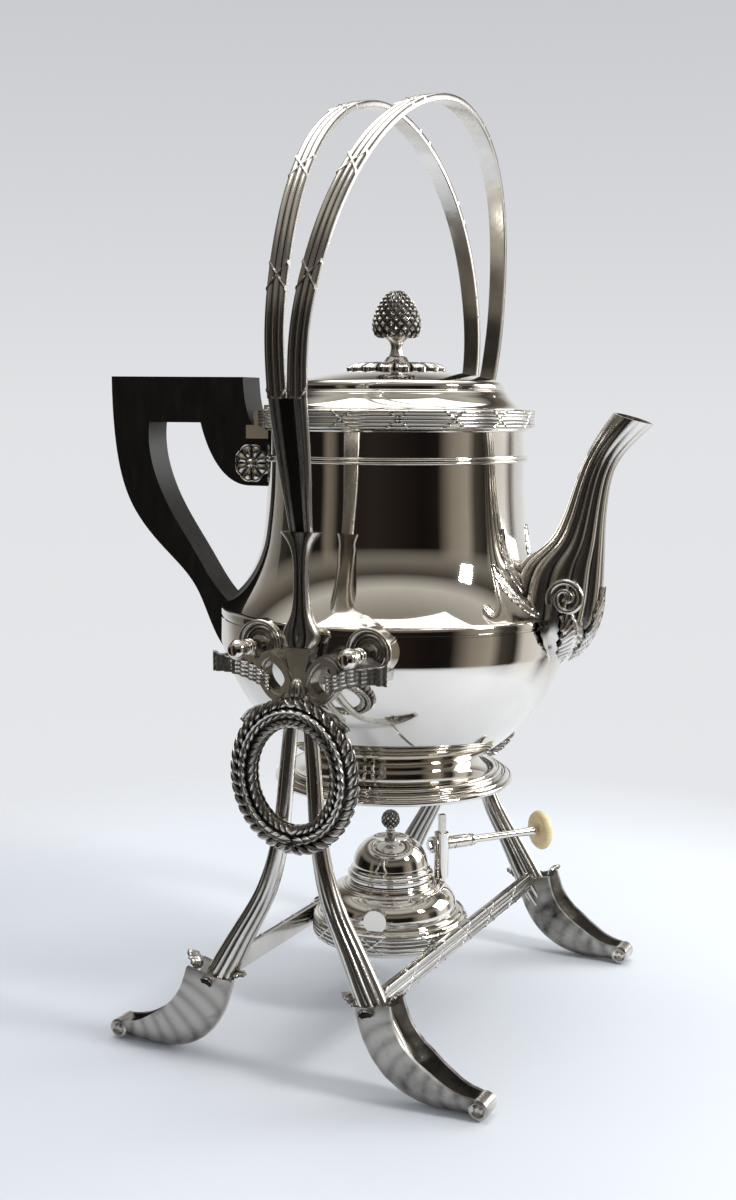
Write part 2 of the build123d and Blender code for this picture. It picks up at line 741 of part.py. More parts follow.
# Bow: knot, two loops and two tails whose ends cradle the trunnion pins
LOOP_OUTLINE = ((2.0, 167.0), (7.5, 178.5), (14.5, 182.0), (19.5, 176.0), (17.0, 165.5), (9.0, 160.6))
LOOP_HOLE = ((6.5, 169.0), (10.0, 175.8), (14.0, 177.2), (15.8, 173.4), (13.6, 167.6), (9.6, 165.4))
SADDLE_HALF_WIDTH = 5.0
SADDLE_TOP_Z = TRUNNION_Z - 1.0


def bow_half(side):
    """Loop, tail and saddle on one side of the knot."""
    saddle_x = KETTLE_X + side * TRUNNION_SPREAD
    with BuildPart() as half:
        with BuildSketch(Plane.XZ.offset(-frame_outer_y)):
            with BuildLine():
                Spline(*[(side * x, z) for x, z in LOOP_OUTLINE], periodic=True)
            make_face()
            with BuildLine(mode=Mode.PRIVATE) as hole_line:
                Spline(*[(side * x, z) for x, z in LOOP_HOLE], periodic=True)
            make_face(hole_line.edges(), mode=Mode.SUBTRACT)
            with BuildLine():
                Spline((side * 15.0, 165.0), (side * 22.0, 168.6), (side * 31.0, 171.0), (side * 41.0, 173.4))
                Line((side * 41.0, 173.4), (side * 41.6, 177.4))
                Spline(
                    (side * 41.6, 177.4),
                    (side * 38.0, 178.4),
                    (saddle_x + side * SADDLE_HALF_WIDTH, SADDLE_TOP_Z - 1.2),
                )
                Polyline(
                    (saddle_x + side * SADDLE_HALF_WIDTH, SADDLE_TOP_Z - 1.2),
                    (saddle_x + side * (SADDLE_HALF_WIDTH - 1), SADDLE_TOP_Z),
                    (saddle_x - side * (SADDLE_HALF_WIDTH - 1), SADDLE_TOP_Z),
                    (saddle_x - side * (SADDLE_HALF_WIDTH - 1), SADDLE_TOP_Z - 3.6),
                    (side * 16.0, 172.6),
                    (side * 15.0, 165.0),
                )
            make_face()
            with Locations((saddle_x, TRUNNION_Z)):
                Circle(PIN_RADIUS + CRADLE_CLEARANCE, mode=Mode.SUBTRACT)
        extrude(amount=FRAME_THICKNESS)
    return half.part


bow_halves = [bow_half(1), bow_half(-1)]
with BuildPart() as bow:
    add(bow_halves)
    with BuildSketch(Plane.XZ.offset(-frame_outer_y)):
        with BuildLine():
            Polyline(
                (-LOOP_HALF_WIDTH, BOW_BOTTOM_Z),
                (LOOP_HALF_WIDTH, BOW_BOTTOM_Z),
                (4.6, 168.0),
                (3.4, 173.0),
                (6.4, COLUMN_BOTTOM_Z),
                (-6.4, COLUMN_BOTTOM_Z),
                (-3.4, 173.0),
                (-4.6, 168.0),
                close=True,
            )
        make_face()
    extrude(amount=FRAME_THICKNESS)
    with BuildSketch(Plane.XZ.offset(-frame_outer_y - 1.4)):
        with Locations((0, 165.6)):
            Ellipse(4.4, 5.0)
    extrude(amount=3)
save_pair(bow.part, "bow")


# Legs: rods that swell towards the foot
def leg_block(side):
    """Leg at +Y, on the +X side for side 1 and on the -X side for side -1."""
    places = [Vector(side * x, y, z) for x, y, z, _ in LEG_STATIONS]
    with BuildPart() as block:
        for index, (place, station) in enumerate(zip(places, LEG_STATIONS)):
            before = places[max(index - 1, 0)]
            after = places[min(index + 1, len(places) - 1)]
            heading = (after - before).normalized()
            with BuildSketch(Plane(origin=place, x_dir=(0, 1, 0), z_dir=heading)):
                Circle(station[3])
        loft(ruled=True)
        add(bow.part, mode=Mode.SUBTRACT)
    return block.part


legs = {"front": leg_block(1), "rear": leg_block(-1)}
for end, leg in legs.items():
    save_pair(leg, f"leg_{end}")

# Wreath: an oval band tied to the bow, seated against both legs
with BuildPart() as wreath:
    with BuildSketch(Plane.XZ.offset(-WREATH_Y)):
        with Locations((0, WREATH_Z)):
            Ellipse(WREATH_HALF_WIDTH + WREATH_BAND, WREATH_HALF_HEIGHT + WREATH_BAND)
            Ellipse(WREATH_HALF_WIDTH - WREATH_BAND, WREATH_HALF_HEIGHT - WREATH_BAND, mode=Mode.SUBTRACT)
    extrude(amount=WREATH_HALF_DEPTH, both=True)
    chamfer(wreath.faces().sort_by(Axis.Y)[-1].edges(), length=1.8)
    for leg in legs.values():
        add(leg, mode=Mode.SUBTRACT)
    add(bow.part, mode=Mode.SUBTRACT)
save_pair(wreath.part, "wreath")


# Feet: scrolled troughs below the legs
def foot_block(side):
    """Foot at +Y, with its toe towards +X for side 1 and -X for side -1."""
    def at(*points):
        return [(side * x, z) for x, z in points]

    with BuildPart() as block:
        with BuildSketch(Plane.XZ.offset(-FOOT_Y)):
            with BuildLine():
                Spline(*at((28.6, 36.5), (31.0, 26.0), (41.0, 10.2), (52.0, 2.8), (FOOT_FLOOR_START_X, 0)))
                Line(*at((FOOT_FLOOR_START_X, 0), (FOOT_FLOOR_END_X, 0)))
                ThreePointArc(*at((FOOT_FLOOR_END_X, 0), (90.2, 3.0), (FOOT_TIP_X, 7.0)))
                ThreePointArc(*at((FOOT_TIP_X, 7.0), (87.6, 11.6), (83.4, 8.8)))
                Spline(*at((83.4, 8.8), (75.0, 12.0), (62.5, 20.6), (53.4, 30.6), (50.0, 41.0)))
                Polyline(*at((50.0, 41.0), (43.5, 42.5), (28.6, 36.5)))
            make_face()
        extrude(amount=FOOT_HALF_WIDTH, both=True)
        with BuildSketch(Plane.XZ.offset(-FOOT_Y)):
            with BuildLine():
                Spline(*at((50.5, 26.0), (54.0, 12.0), (60.0, 5.0), (68.0, TROUGH_WALL)))
                Line(*at((68.0, TROUGH_WALL), (80.5, TROUGH_WALL)))
                Polyline(*at((80.5, TROUGH_WALL), (83.0, 14.0), (66.0, 32.0), (50.5, 26.0)))
            make_face()
        extrude(amount=FOOT_HALF_WIDTH - TROUGH_WALL, both=True, mode=Mode.SUBTRACT)
        with BuildSketch(Plane.XY):
            with BuildLine():
                Polyline(
                    *at((26.0, FOOT_Y - 7.2), (48.0, FOOT_Y - FOOT_HALF_WIDTH)),
                    *at((70.0, FOOT_Y - FOOT_HALF_WIDTH), (FOOT_TIP_X + 1, FOOT_Y - FOOT_TIP_HALF_WIDTH)),
                    *at((FOOT_TIP_X + 1, FOOT_Y + FOOT_TIP_HALF_WIDTH), (70.0, FOOT_Y + FOOT_HALF_WIDTH)),
                    *at((48.0, FOOT_Y + FOOT_HALF_WIDTH), (26.0, FOOT_Y + 5.2)),
                    close=True,
                )
            make_face()
        extrude(amount=50, mode=Mode.INTERSECT)
        add(legs["front" if side > 0 else "rear"], mode=Mode.SUBTRACT)
    return block.part


feet = {"front": foot_block(1), "rear": foot_block(-1)}
for end, foot in feet.items():
    save_pair(foot, f"foot_{end}")


# Stretchers between the frames, and the lamp ring let in between them
def stretcher_block(side):
    """Flat strap along Y with rounded ends, cut to meet the legs and feet."""
    with BuildPart() as block:
        with BuildSketch(Plane.YZ.offset(side * STRETCHER_X)):
            with Locations((0, STRETCHER_Z)):
                SlotOverall(2 * STRETCHER_END_Y, STRETCHER_HEIGHT)
        extrude(amount=side * STRETCHER_THICKNESS)
        for source in (legs, feet):
            cutter = source["front" if side > 0 else "rear"]
            add(cutter, mode=Mode.SUBTRACT)
            add(mirror(cutter, about=Plane.XZ), mode=Mode.SUBTRACT)
    return block.part


stretchers = {"front": stretcher_block(1), "rear": stretcher_block(-1)}
for end, stretcher in stretchers.items():
    save(stretcher, f"stretcher_{end}")

with BuildPart() as lamp_ring:
    with BuildSketch(Plane.XY.offset(RING_TOP_Z - RING_HEIGHT)):
        Circle(RING_RADIUS)
        Circle(RING_BORE, mode=Mode.SUBTRACT)
    extrude(amount=RING_HEIGHT)
    for stretcher in stretchers.values():
        add(stretcher, mode=Mode.SUBTRACT)
save(lamp_ring.part, "lamp_ring")

# Arch handle: height, half span and half gap of the two straps, leaning forward
ARCH_STATIONS = (
    (312.0, 102.3, 5.6),
    (340.0, 98.2, 7.5),
    (360.0, 90.7, 9.3),
    (380.0, 78.2, 11.6),
    (395.0, 63.5, 13.6),
    (408.0, 43.3, 15.5),
    (415.5, 22.3, 16.7),
)
strap_top_z = ARCH_TOP_Z - STRAP_THICKNESS / 2


def arch_centre():
    """Centre line of the arch in its front view, seen along X."""
    rising = [(-ARCH_SPLIT_Y, ARCH_SPLIT_Z)] + [(-y, z) for z, y, _ in ARCH_STATIONS]
    falling = [(-y, z) for y, z in reversed(rising)]
    with BuildLine() as centre:
        Spline(*rising, (0, strap_top_z), *falling)
    return centre.line


def strap_block(side):
    """One strap: the band of the arch, kept where its side view lies."""
    centre = arch_centre()
    half = STRAP_WIDTH / 2

    def place(z, gap):
        return ARCH_LEAN * (z - ARCH_SPLIT_Z) / (strap_top_z - ARCH_SPLIT_Z) + side * gap

    middle = [(place(ARCH_SPLIT_Z, STRAP_GAP_SPLIT), ARCH_SPLIT_Z)]
    middle += [(place(z, gap), z) for z, _, gap in ARCH_STATIONS]
    middle += [(place(ARCH_TOP_Z, STRAP_GAP_TOP), ARCH_TOP_Z + 1)]
    with BuildPart() as block:
        with BuildSketch(Plane.YZ):
            with BuildLine():
                add(centre)
            trace(line_width=STRAP_THICKNESS)
        extrude(amount=40, both=True)
        with BuildSketch(Plane.XZ):
            with BuildLine():
                Spline(*[(x - half, z) for x, z in middle])
                Line((middle[-1][0] - half, middle[-1][1]), (middle[-1][0] + half, middle[-1][1]))
                Spline(*[(x + half, z) for x, z in reversed(middle)])
                Line((middle[0][0] + half, middle[0][1]), (middle[0][0] - half, middle[0][1]))
            make_face()
        extrude(amount=ARCH_HALF_SPAN + 10, both=True, mode=Mode.INTERSECT)
    return block.part


arch_strap_front = strap_block(1)
save(arch_strap_front, "arch_strap_front")
with BuildPart() as arch_strap_rear:
    add(strap_block(-1))
    add(arch_strap_front, mode=Mode.SUBTRACT)
save(arch_strap_rear.part, "arch_strap_rear")

with BuildPart() as arch_root:
    half = STRAP_THICKNESS / 2
    with BuildSketch(Plane.YZ):
        with BuildLine():
            Polyline(
                (frame_middle_y - half, COLUMN_TOP_Z),
                (frame_middle_y + half, COLUMN_TOP_Z),
                (93.4 + half, 261.0),
                (ARCH_SPLIT_Y + half, ARCH_SPLIT_Z),
                (ARCH_SPLIT_Y - half, ARCH_SPLIT_Z),
                (93.4 - half, 261.0),
                close=True,
            )
        make_face()
    extrude(amount=20, both=True)
    with BuildSketch(Plane.XZ):
        with BuildLine():
            Polyline(
                (-ROOT_BOTTOM_HALF_WIDTH, COLUMN_TOP_Z),
                (ROOT_BOTTOM_HALF_WIDTH, COLUMN_TOP_Z),
                (7.8, 262.0),
                (ROOT_TOP_HALF_WIDTH, ARCH_SPLIT_Z),
                (-ROOT_TOP_HALF_WIDTH, ARCH_SPLIT_Z),
                (-7.8, 262.0),
                close=True,
            )
        make_face()
    extrude(amount=-120, mode=Mode.INTERSECT)
save_pair(arch_root.part, "arch_root")


# Lamp reservoir
def reservoir_outline(inset):
    """Half section of the reservoir, moved inwards by inset."""
    lower_radius = RING_BORE - LAMP_CLEARANCE
    Polyline(
        (0, RESERVOIR_BOTTOM_Z + inset),
        (lower_radius - 3 - inset, RESERVOIR_BOTTOM_Z + inset),
        (lower_radius - inset, RESERVOIR_BOTTOM_Z + 3),
        (lower_radius - inset, RING_TOP_Z),
    )
    if inset == 0:
        Polyline(
            (lower_radius, RING_TOP_Z),
            (FLANGE_RADIUS, RING_TOP_Z),
            (FLANGE_RADIUS, RING_TOP_Z + FLANGE_THICKNESS),
            (BULGE_RADIUS, RING_TOP_Z + FLANGE_THICKNESS),
        )
    else:
        Line((lower_radius - inset, RING_TOP_Z), (BULGE_RADIUS - inset, RING_TOP_Z + FLANGE_THICKNESS))
    ThreePointArc(
        (BULGE_RADIUS - inset, RING_TOP_Z + FLANGE_THICKNESS),
        (30.6 - inset, 51.8 - inset / 2),
        (SHOULDER_RADIUS + 2, RESERVOIR_TOP_Z - 1.6 - inset),
    )
    Polyline(
        (SHOULDER_RADIUS + 2, RESERVOIR_TOP_Z - 1.6 - inset),
        (SHOULDER_RADIUS, RESERVOIR_TOP_Z - inset),
        (0, RESERVOIR_TOP_Z - inset),
        (0, RESERVOIR_BOTTOM_Z + inset),
    )


def reservoir_block(inset):
    """Solid of revolution inside the reservoir outline."""
    with BuildPart() as block:
        with BuildSketch(Plane.XZ):
            with BuildLine():
                reservoir_outline(inset)
            make_face()
        revolve(axis=Axis.Z)
    return block.part


# Planes of the regulator: across the spindle, and level planes turned to it
radial = Vector(cos(radians(REGULATOR_ANGLE)), sin(radians(REGULATOR_ANGLE)), 0)
tangent = Vector(-radial.Y, radial.X, 0)
pitch_radius = GEAR_MODULE * PINION_TEETH / 2
tooth_pitch = pi * GEAR_MODULE
rod_offset = -(pitch_radius + GEAR_MODULE + ROD_BACK / 2)


def across_spindle(distance):
    """Plane square to the spindle, at a distance from the lamp's axis."""
    return Plane(origin=radial * distance + Vector(0, 0, SPINDLE_Z), x_dir=tangent, z_dir=radial)


def level(z):
    """Level plane whose local x is along the spindle."""
    return Plane(origin=(0, 0, z), x_dir=radial, z_dir=(0, 0, 1))


slot_width = 2 * (ROD_HALF_WIDTH + ROD_CLEARANCE)
slot_depth = ROD_BACK + 2 * GEAR_MODULE + 2 * ROD_CLEARANCE
slot_centre = rod_offset + GEAR_MODULE

reservoir_outside = reservoir_block(0)
filler_plane = Plane(
    origin=(0, 0, FILLER_Z),
    x_dir=(0, 0, 1),
    z_dir=(cos(radians(FILLER_ANGLE)), sin(radians(FILLER_ANGLE)), 0),
)
collar_bore = WICK_RADIUS + WICK_GAP + WICK_TUBE_WALL
with BuildPart() as lamp_reservoir:
    add(reservoir_outside)
    with BuildSketch(level(RESERVOIR_TOP_Z - 6)):
        with Locations((POST_RADIAL, rod_offset)):
            Circle(POST_RADIUS + 1.2)
    extrude(amount=POST_SEAT_Z - RESERVOIR_TOP_Z + 6)
    add(reservoir_block(LAMP_WALL), mode=Mode.SUBTRACT)
    with BuildSketch(Plane.XY.offset(RESERVOIR_TOP_Z - 3)):
        Circle(collar_bore + 3)
    extrude(amount=4, mode=Mode.SUBTRACT)
    with BuildSketch(level(RESERVOIR_TOP_Z - 8)):
        with Locations((POST_RADIAL, slot_centre)):
            Rectangle(slot_width, slot_depth)
    extrude(amount=12, mode=Mode.SUBTRACT)
    with BuildSketch(filler_plane.offset(BULGE_RADIUS - 5)):
        Circle(FILLER_SHANK_RADIUS)
    extrude(amount=10, mode=Mode.SUBTRACT)
save(lamp_reservoir.part, "lamp_reservoir")

with BuildPart() as filler_plug:
    with BuildSketch(filler_plane.offset(BULGE_RADIUS - 5)):
        Circle(FILLER_SHANK_RADIUS)
    extrude(amount=FILLER_HEAD_FACE - BULGE_RADIUS + 5)
    with BuildSketch(filler_plane.offset(BULGE_RADIUS - 2.6)):
        Circle(FILLER_HEAD_RADIUS)
        Circle(FILLER_SHANK_RADIUS, mode=Mode.SUBTRACT)
    extrude(amount=FILLER_HEAD_FACE - BULGE_RADIUS + 2.6)
    add(lamp_reservoir.part, mode=Mode.SUBTRACT)
save(filler_plug.part, "filler_plug")

with BuildPart() as burner_collar:
    with BuildSketch(Plane.XZ):
        with BuildLine():
            Polyline(
                (collar_bore, RESERVOIR_TOP_Z - LAMP_WALL - 1.6),
                (collar_bore + 3, RESERVOIR_TOP_Z - LAMP_WALL - 1.6),
                (collar_bore + 3, RESERVOIR_TOP_Z),
                (COLLAR_RADIUS, RESERVOIR_TOP_Z),
                (COLLAR_RADIUS, RESERVOIR_TOP_Z + 1.6),
                (COLLAR_RADIUS - 1.2, RESERVOIR_TOP_Z + 2.2),
                (COLLAR_RADIUS - 1.2, COLLAR_TOP_Z),
                (collar_bore, COLLAR_TOP_Z),
                close=True,
            )
        make_face()
    revolve(axis=Axis.Z)
save(burner_collar.part, "burner_collar")

with BuildPart() as wick_tube:
    with BuildSketch(Plane.XY.offset(WICK_TUBE_BOTTOM_Z)):
        Circle(collar_bore)
        Circle(WICK_RADIUS + WICK_GAP, mode=Mode.SUBTRACT)
    extrude(amount=WICK_TUBE_TOP_Z - WICK_TUBE_BOTTOM_Z)
save(wick_tube.part, "wick_tube")

with BuildPart() as wick:
    with BuildSketch(Plane.XY.offset(RESERVOIR_BOTTOM_Z + LAMP_WALL + 0.3)):
        Circle(WICK_RADIUS)
    extrude(amount=WICK_TOP_Z - RESERVOIR_BOTTOM_Z - LAMP_WALL - 0.3)
save(wick.part, "wick")

# Regulator post, with a barrel across it for the pinion
with BuildPart() as regulator_post:
    with BuildSketch(level(POST_SEAT_Z)):
        with Locations((POST_RADIAL, slot_centre)):
            Circle(POST_RADIUS)
    extrude(amount=POST_TOP_Z - POST_SEAT_Z)
    with BuildSketch(across_spindle(POST_RADIAL - BARREL_HALF_LENGTH)):
        Circle(BARREL_RADIUS)
    extrude(amount=2 * BARREL_HALF_LENGTH)
    with BuildSketch(level(POST_SEAT_Z)):
        with Locations((POST_RADIAL, slot_centre)):
            Rectangle(slot_width, slot_depth)
    extrude(amount=POST_TOP_Z - POST_SEAT_Z, mode=Mode.SUBTRACT)
    with BuildSketch(across_spindle(POST_RADIAL - PINION_HALF_LENGTH - 0.1)):
        Circle(pitch_radius + GEAR_MODULE + 0.2)
    extrude(amount=2 * PINION_HALF_LENGTH + 0.2, mode=Mode.SUBTRACT)
    with BuildSketch(across_spindle(POST_RADIAL - BARREL_HALF_LENGTH)):
        Circle(SPINDLE_RADIUS + SPINDLE_CLEARANCE)
    extrude(amount=2 * BARREL_HALF_LENGTH, mode=Mode.SUBTRACT)
save(regulator_post.part, "regulator_post")

# Rack rod: trapezoid teeth facing the pinion, a gap level with its axis at rest
addendum = 0.9 * GEAR_MODULE
dedendum = 1.15 * GEAR_MODULE
flank = 0.36


def tooth_half(depth):
    """Half thickness of a rack tooth at a depth past the pitch line."""
    return tooth_pitch / 4 - BACKLASH / 2 + flank * depth


def rack_edge():
    """Points up the toothed edge of the rack, as (tangential, height)."""
    root = -pitch_radius - dedendum
    tip = -pitch_radius + addendum
    lowest = -(RACK_TOOTH_COUNT - 2.5) * tooth_pitch
    points = []
    for index in range(RACK_TOOTH_COUNT):
        height = lowest + index * tooth_pitch
        points += [
            (root, height - tooth_half(dedendum)),
            (tip, height - tooth_half(-addendum)),
            (tip, height + tooth_half(-addendum)),
            (root, height + tooth_half(dedendum)),
        ]
    return points


rod_back_edge = rod_offset - ROD_BACK / 2
rod_bottom = CARRIER_BOTTOM_Z + CARRIER_HEIGHT - SPINDLE_Z
rod_top = ROD_TOP_Z - SPINDLE_Z
with BuildPart() as rack_rod:
    with BuildSketch(across_spindle(POST_RADIAL)):
        with BuildLine():
            Polyline(
                (rod_back_edge, rod_bottom),
                (-pitch_radius - dedendum, rod_bottom),
                *rack_edge(),
                (-pitch_radius - dedendum, rod_top),
                (rod_back_edge, rod_top),
                close=True,
            )
        make_face()
    extrude(amount=ROD_HALF_WIDTH, both=True)
save(rack_rod.part, "rack_rod")

with BuildPart() as wick_carrier:
    with BuildSketch(level(CARRIER_BOTTOM_Z)):
        Circle(CARRIER_RADIUS)
        with Locations((POST_RADIAL / 2 + 1, rod_offset)):
            Rectangle(POST_RADIAL + 2, ROD_BACK)
        Circle(WICK_RADIUS, mode=Mode.SUBTRACT)
    extrude(amount=CARRIER_HEIGHT)
    with BuildSketch(Plane.XY.offset(CARRIER_BOTTOM_Z)):
        Circle(WICK_RADIUS)
    extrude(amount=CARRIER_HEIGHT, mode=Mode.SUBTRACT)
save(wick_carrier.part, "wick_carrier")


# Spindle with pinion, nut, socket, bone disc and its cap
def pinion_outline():
    """Points round the pinion, one tooth pointing at the rack."""
    step = 2 * pi / PINION_TEETH
    radii = (pitch_radius - dedendum, pitch_radius, pitch_radius + addendum)
    halves = (0.46, tooth_pitch / 4 - BACKLASH / 2, 0.16)
    points = []
    for index in range(PINION_TEETH):
        middle = pi + index * step
        rising = [(radius, middle - half / radius) for radius, half in zip(radii, halves)]
        falling = [(radius, middle + half / radius) for radius, half in zip(radii, halves)]
        for radius, angle in rising + falling[::-1]:
            points.append((radius * cos(angle), radius * sin(angle)))
    return points


with BuildPart() as pinion:
    with BuildSketch(across_spindle(POST_RADIAL - PINION_HALF_LENGTH)):
        with BuildLine():
            Polyline(*pinion_outline(), close=True)
        make_face()
        Circle(SPINDLE_RADIUS, mode=Mode.SUBTRACT)
    extrude(amount=2 * PINION_HALF_LENGTH)
save(pinion.part, "pinion")

socket_start = POST_RADIAL + BARREL_HALF_LENGTH + SOCKET_GAP
disc_start = DISC_RADIAL - DISC_THICKNESS / 2
with BuildPart() as regulator_spindle:
    with BuildSketch(across_spindle(SPINDLE_INNER)):
        Circle(SPINDLE_RADIUS)
    extrude(amount=socket_start + SOCKET_LENGTH / 2 - SPINDLE_INNER)
    with BuildSketch(across_spindle(socket_start + SOCKET_LENGTH / 2)):
        Circle(ROD_GRIP_RADIUS)
    extrude(amount=disc_start - socket_start - SOCKET_LENGTH / 2)
    with BuildSketch(across_spindle(disc_start)):
        Circle(SPINDLE_RADIUS)
    extrude(amount=DISC_THICKNESS)
save(regulator_spindle.part, "regulator_spindle")

with BuildPart() as spindle_nut:
    with BuildSketch(across_spindle(SPINDLE_INNER)):
        RegularPolygon(NUT_RADIUS, 6)
        Circle(SPINDLE_RADIUS, mode=Mode.SUBTRACT)
    extrude(amount=NUT_LENGTH)
save(spindle_nut.part, "spindle_nut")

with BuildPart() as spindle_socket:
    with BuildSketch(across_spindle(socket_start)):
        Circle(SOCKET_RADIUS)
    extrude(amount=SOCKET_LENGTH)
    add(regulator_spindle.part, mode=Mode.SUBTRACT)
save(spindle_socket.part, "spindle_socket")

with BuildPart() as bone_disc:
    with BuildSketch(across_spindle(disc_start)):
        Circle(DISC_RADIUS)
    extrude(amount=DISC_THICKNESS)
    fillet(bone_disc.edges().filter_by(GeomType.CIRCLE), radius=0.42 * DISC_THICKNESS)
    with BuildSketch(across_spindle(disc_start)):
        Circle(SPINDLE_RADIUS)
    extrude(amount=DISC_THICKNESS, mode=Mode.SUBTRACT)
save(bone_disc.part, "bone_disc")

with BuildPart() as disc_cap:
    with BuildSketch(across_spindle(disc_start + DISC_THICKNESS)):
        Circle(DISC_CAP_RADIUS)
    extrude(amount=DISC_CAP_THICKNESS)
    chamfer(disc_cap.edges().sort_by(Axis(origin=(0, 0, 0), direction=radial))[-1], length=0.8)
save(disc_cap.part, "disc_cap")


# Snuffer cap over the burner
def cap_outline(inset):
    """Half section of the snuffer cap, moved inwards by inset."""
    Polyline(
        (0, COLLAR_TOP_Z),
        (COLLAR_RADIUS - inset, COLLAR_TOP_Z),
        (COLLAR_RADIUS - inset, COLLAR_TOP_Z + 1.8),
        (CAP_SHOULDER_RADIUS + 0.6 - inset, COLLAR_TOP_Z + 3.4),
        (CAP_SHOULDER_RADIUS - inset, CAP_SHOULDER_Z),
    )
    ThreePointArc(
        (CAP_SHOULDER_RADIUS - inset, CAP_SHOULDER_Z),
        (14.6 - inset, 75.2 - inset / 2),
        (CAP_TOP_RADIUS, CAP_TOP_Z - inset),
    )
    Polyline(
        (CAP_TOP_RADIUS, CAP_TOP_Z - inset),
        (CAP_TOP_RADIUS - 2.5, CAP_TOP_Z - 0.9 - inset),
        (0, CAP_TOP_Z - 0.9 - inset),
        (0, COLLAR_TOP_Z),
    )


def cap_block(inset):
    """Solid of revolution inside the cap outline."""
    with BuildPart() as block:
        with BuildSketch(Plane.XZ):
            with BuildLine():
                cap_outline(inset)
            make_face()
        revolve(axis=Axis.Z)
    return block.part


with BuildPart() as snuffer_cap:
    add(cap_block(0))
    add(cap_block(CAP_WALL), mode=Mode.SUBTRACT)
save(snuffer_cap.part, "snuffer_cap")

with BuildPart() as snuffer_finial:
    with BuildSketch(Plane.XZ):
        with BuildLine():
            Polyline(
                (0, CAP_TOP_Z - 0.9),
                (CAP_STEM_RADIUS + 1.4, CAP_TOP_Z - 0.9),
                (CAP_STEM_RADIUS, CAP_TOP_Z + 1.0),
                (CAP_STEM_RADIUS, 84.4),
            )
            Spline((CAP_STEM_RADIUS, 84.4), (CAP_FINIAL_RADIUS, 88.4), (0, CAP_FINIAL_TOP_Z))
            Line((0, CAP_FINIAL_TOP_Z), (0, CAP_TOP_Z - 0.9))
        make_face()
    revolve(axis=Axis.Z)
save(snuffer_finial.part, "snuffer_finial")
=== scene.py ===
"""Silver tilting kettle on its stand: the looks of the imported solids.

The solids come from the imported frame. Each operator makes one group of pieces in
place of them: the kettle's shell, the lid, the spout, the handle, the trunnions,
the side frames, the wreaths, the feet, the lamp's tray, the arch and the lamp.
Sizes are in millimetres about the centre of the stand, as in the part's source.
"""

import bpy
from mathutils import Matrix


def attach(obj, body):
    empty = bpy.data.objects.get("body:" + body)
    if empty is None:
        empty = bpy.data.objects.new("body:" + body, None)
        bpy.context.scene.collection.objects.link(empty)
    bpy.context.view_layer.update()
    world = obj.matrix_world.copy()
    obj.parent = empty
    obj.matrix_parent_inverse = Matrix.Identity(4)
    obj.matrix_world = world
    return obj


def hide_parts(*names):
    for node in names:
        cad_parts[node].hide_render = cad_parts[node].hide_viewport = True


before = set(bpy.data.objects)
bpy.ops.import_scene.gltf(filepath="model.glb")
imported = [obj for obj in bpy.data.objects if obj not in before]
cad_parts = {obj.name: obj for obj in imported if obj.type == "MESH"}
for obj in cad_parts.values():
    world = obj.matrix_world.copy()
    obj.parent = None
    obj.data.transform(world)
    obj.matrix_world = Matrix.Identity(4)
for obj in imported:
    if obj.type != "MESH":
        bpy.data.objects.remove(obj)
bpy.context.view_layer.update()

import math

import bmesh
import bpy
import numpy as np
from mathutils import Matrix, Vector

bl_info = {
    "name": "Tilting kettle on stand",
    "version": (1, 0, 0),
    "blender": (4, 5, 0),
    "location": "View3D > Sidebar > Kettle",
    "description": "Builds the looks of a silver tilting kettle with its stand and spirit lamp",
    "category": "Object",
}

MM = 0.001
STAND_X = 14.95
KETTLE_X = 1.5
SIDES = (("left", 1), ("right", -1))
ENDS = (("front", 1), ("rear", -1))


class KettleSettings(bpy.types.PropertyGroup):
    """Sizes of the ornament on the kettle and its stand."""

    rim_ties: bpy.props.IntProperty(
        name="Rim ribbons", description="Crossed ribbons round the kettle's rim", default=16, min=4
    )
    reed_depth: bpy.props.FloatProperty(
        name="Reed depth", description="Depth of the grooves between reeds, in millimetres", default=0.8
    )
    cone_rows: bpy.props.IntProperty(
        name="Cone rows", description="Rows of scales on the lid's cone", default=12, min=4
    )
    wreath_leaves: bpy.props.IntProperty(
        name="Wreath leaves", description="Places of leaves round each wreath", default=40, min=12
    )
    spout_flutes: bpy.props.IntProperty(
        name="Spout flutes", description="Lengthwise hollows round the spout", default=12, min=4
    )
    foot_veins: bpy.props.IntProperty(
        name="Foot veins", description="Veins across each foot's leaf", default=9, min=3
    )


class FinishSettings(bpy.types.PropertyGroup):
    """Colours of the real finishes."""

    silver: bpy.props.StringProperty(
        name="Silver", description="sRGB hex of polished silver", default="E3DFD8"
    )
    oxide: bpy.props.StringProperty(
        name="Oxide", description="sRGB hex of tarnish in the hollows", default="2B2622"
    )
    ebony: bpy.props.StringProperty(
        name="Ebony", description="sRGB hex of the handle", default="161412"
    )
    bone: bpy.props.StringProperty(
        name="Bone", description="sRGB hex of the key's disc", default="E6D9AE"
    )
    backdrop: bpy.props.StringProperty(
        name="Backdrop", description="sRGB hex of the wall behind", default="DFE0E3"
    )
    table: bpy.props.StringProperty(
        name="Table", description="sRGB hex of the table top", default="DDE1E6"
    )


def rgb(code):
    """Linear colour of an sRGB hex code."""
    parts = [int(code[i : i + 2], 16) / 255 for i in (0, 2, 4)]
    line = [c / 12.92 if c <= 0.04045 else ((c + 0.055) / 1.055) ** 2.4 for c in parts]
    return (*line, 1.0)


# Shapes: every function below works in millimetres


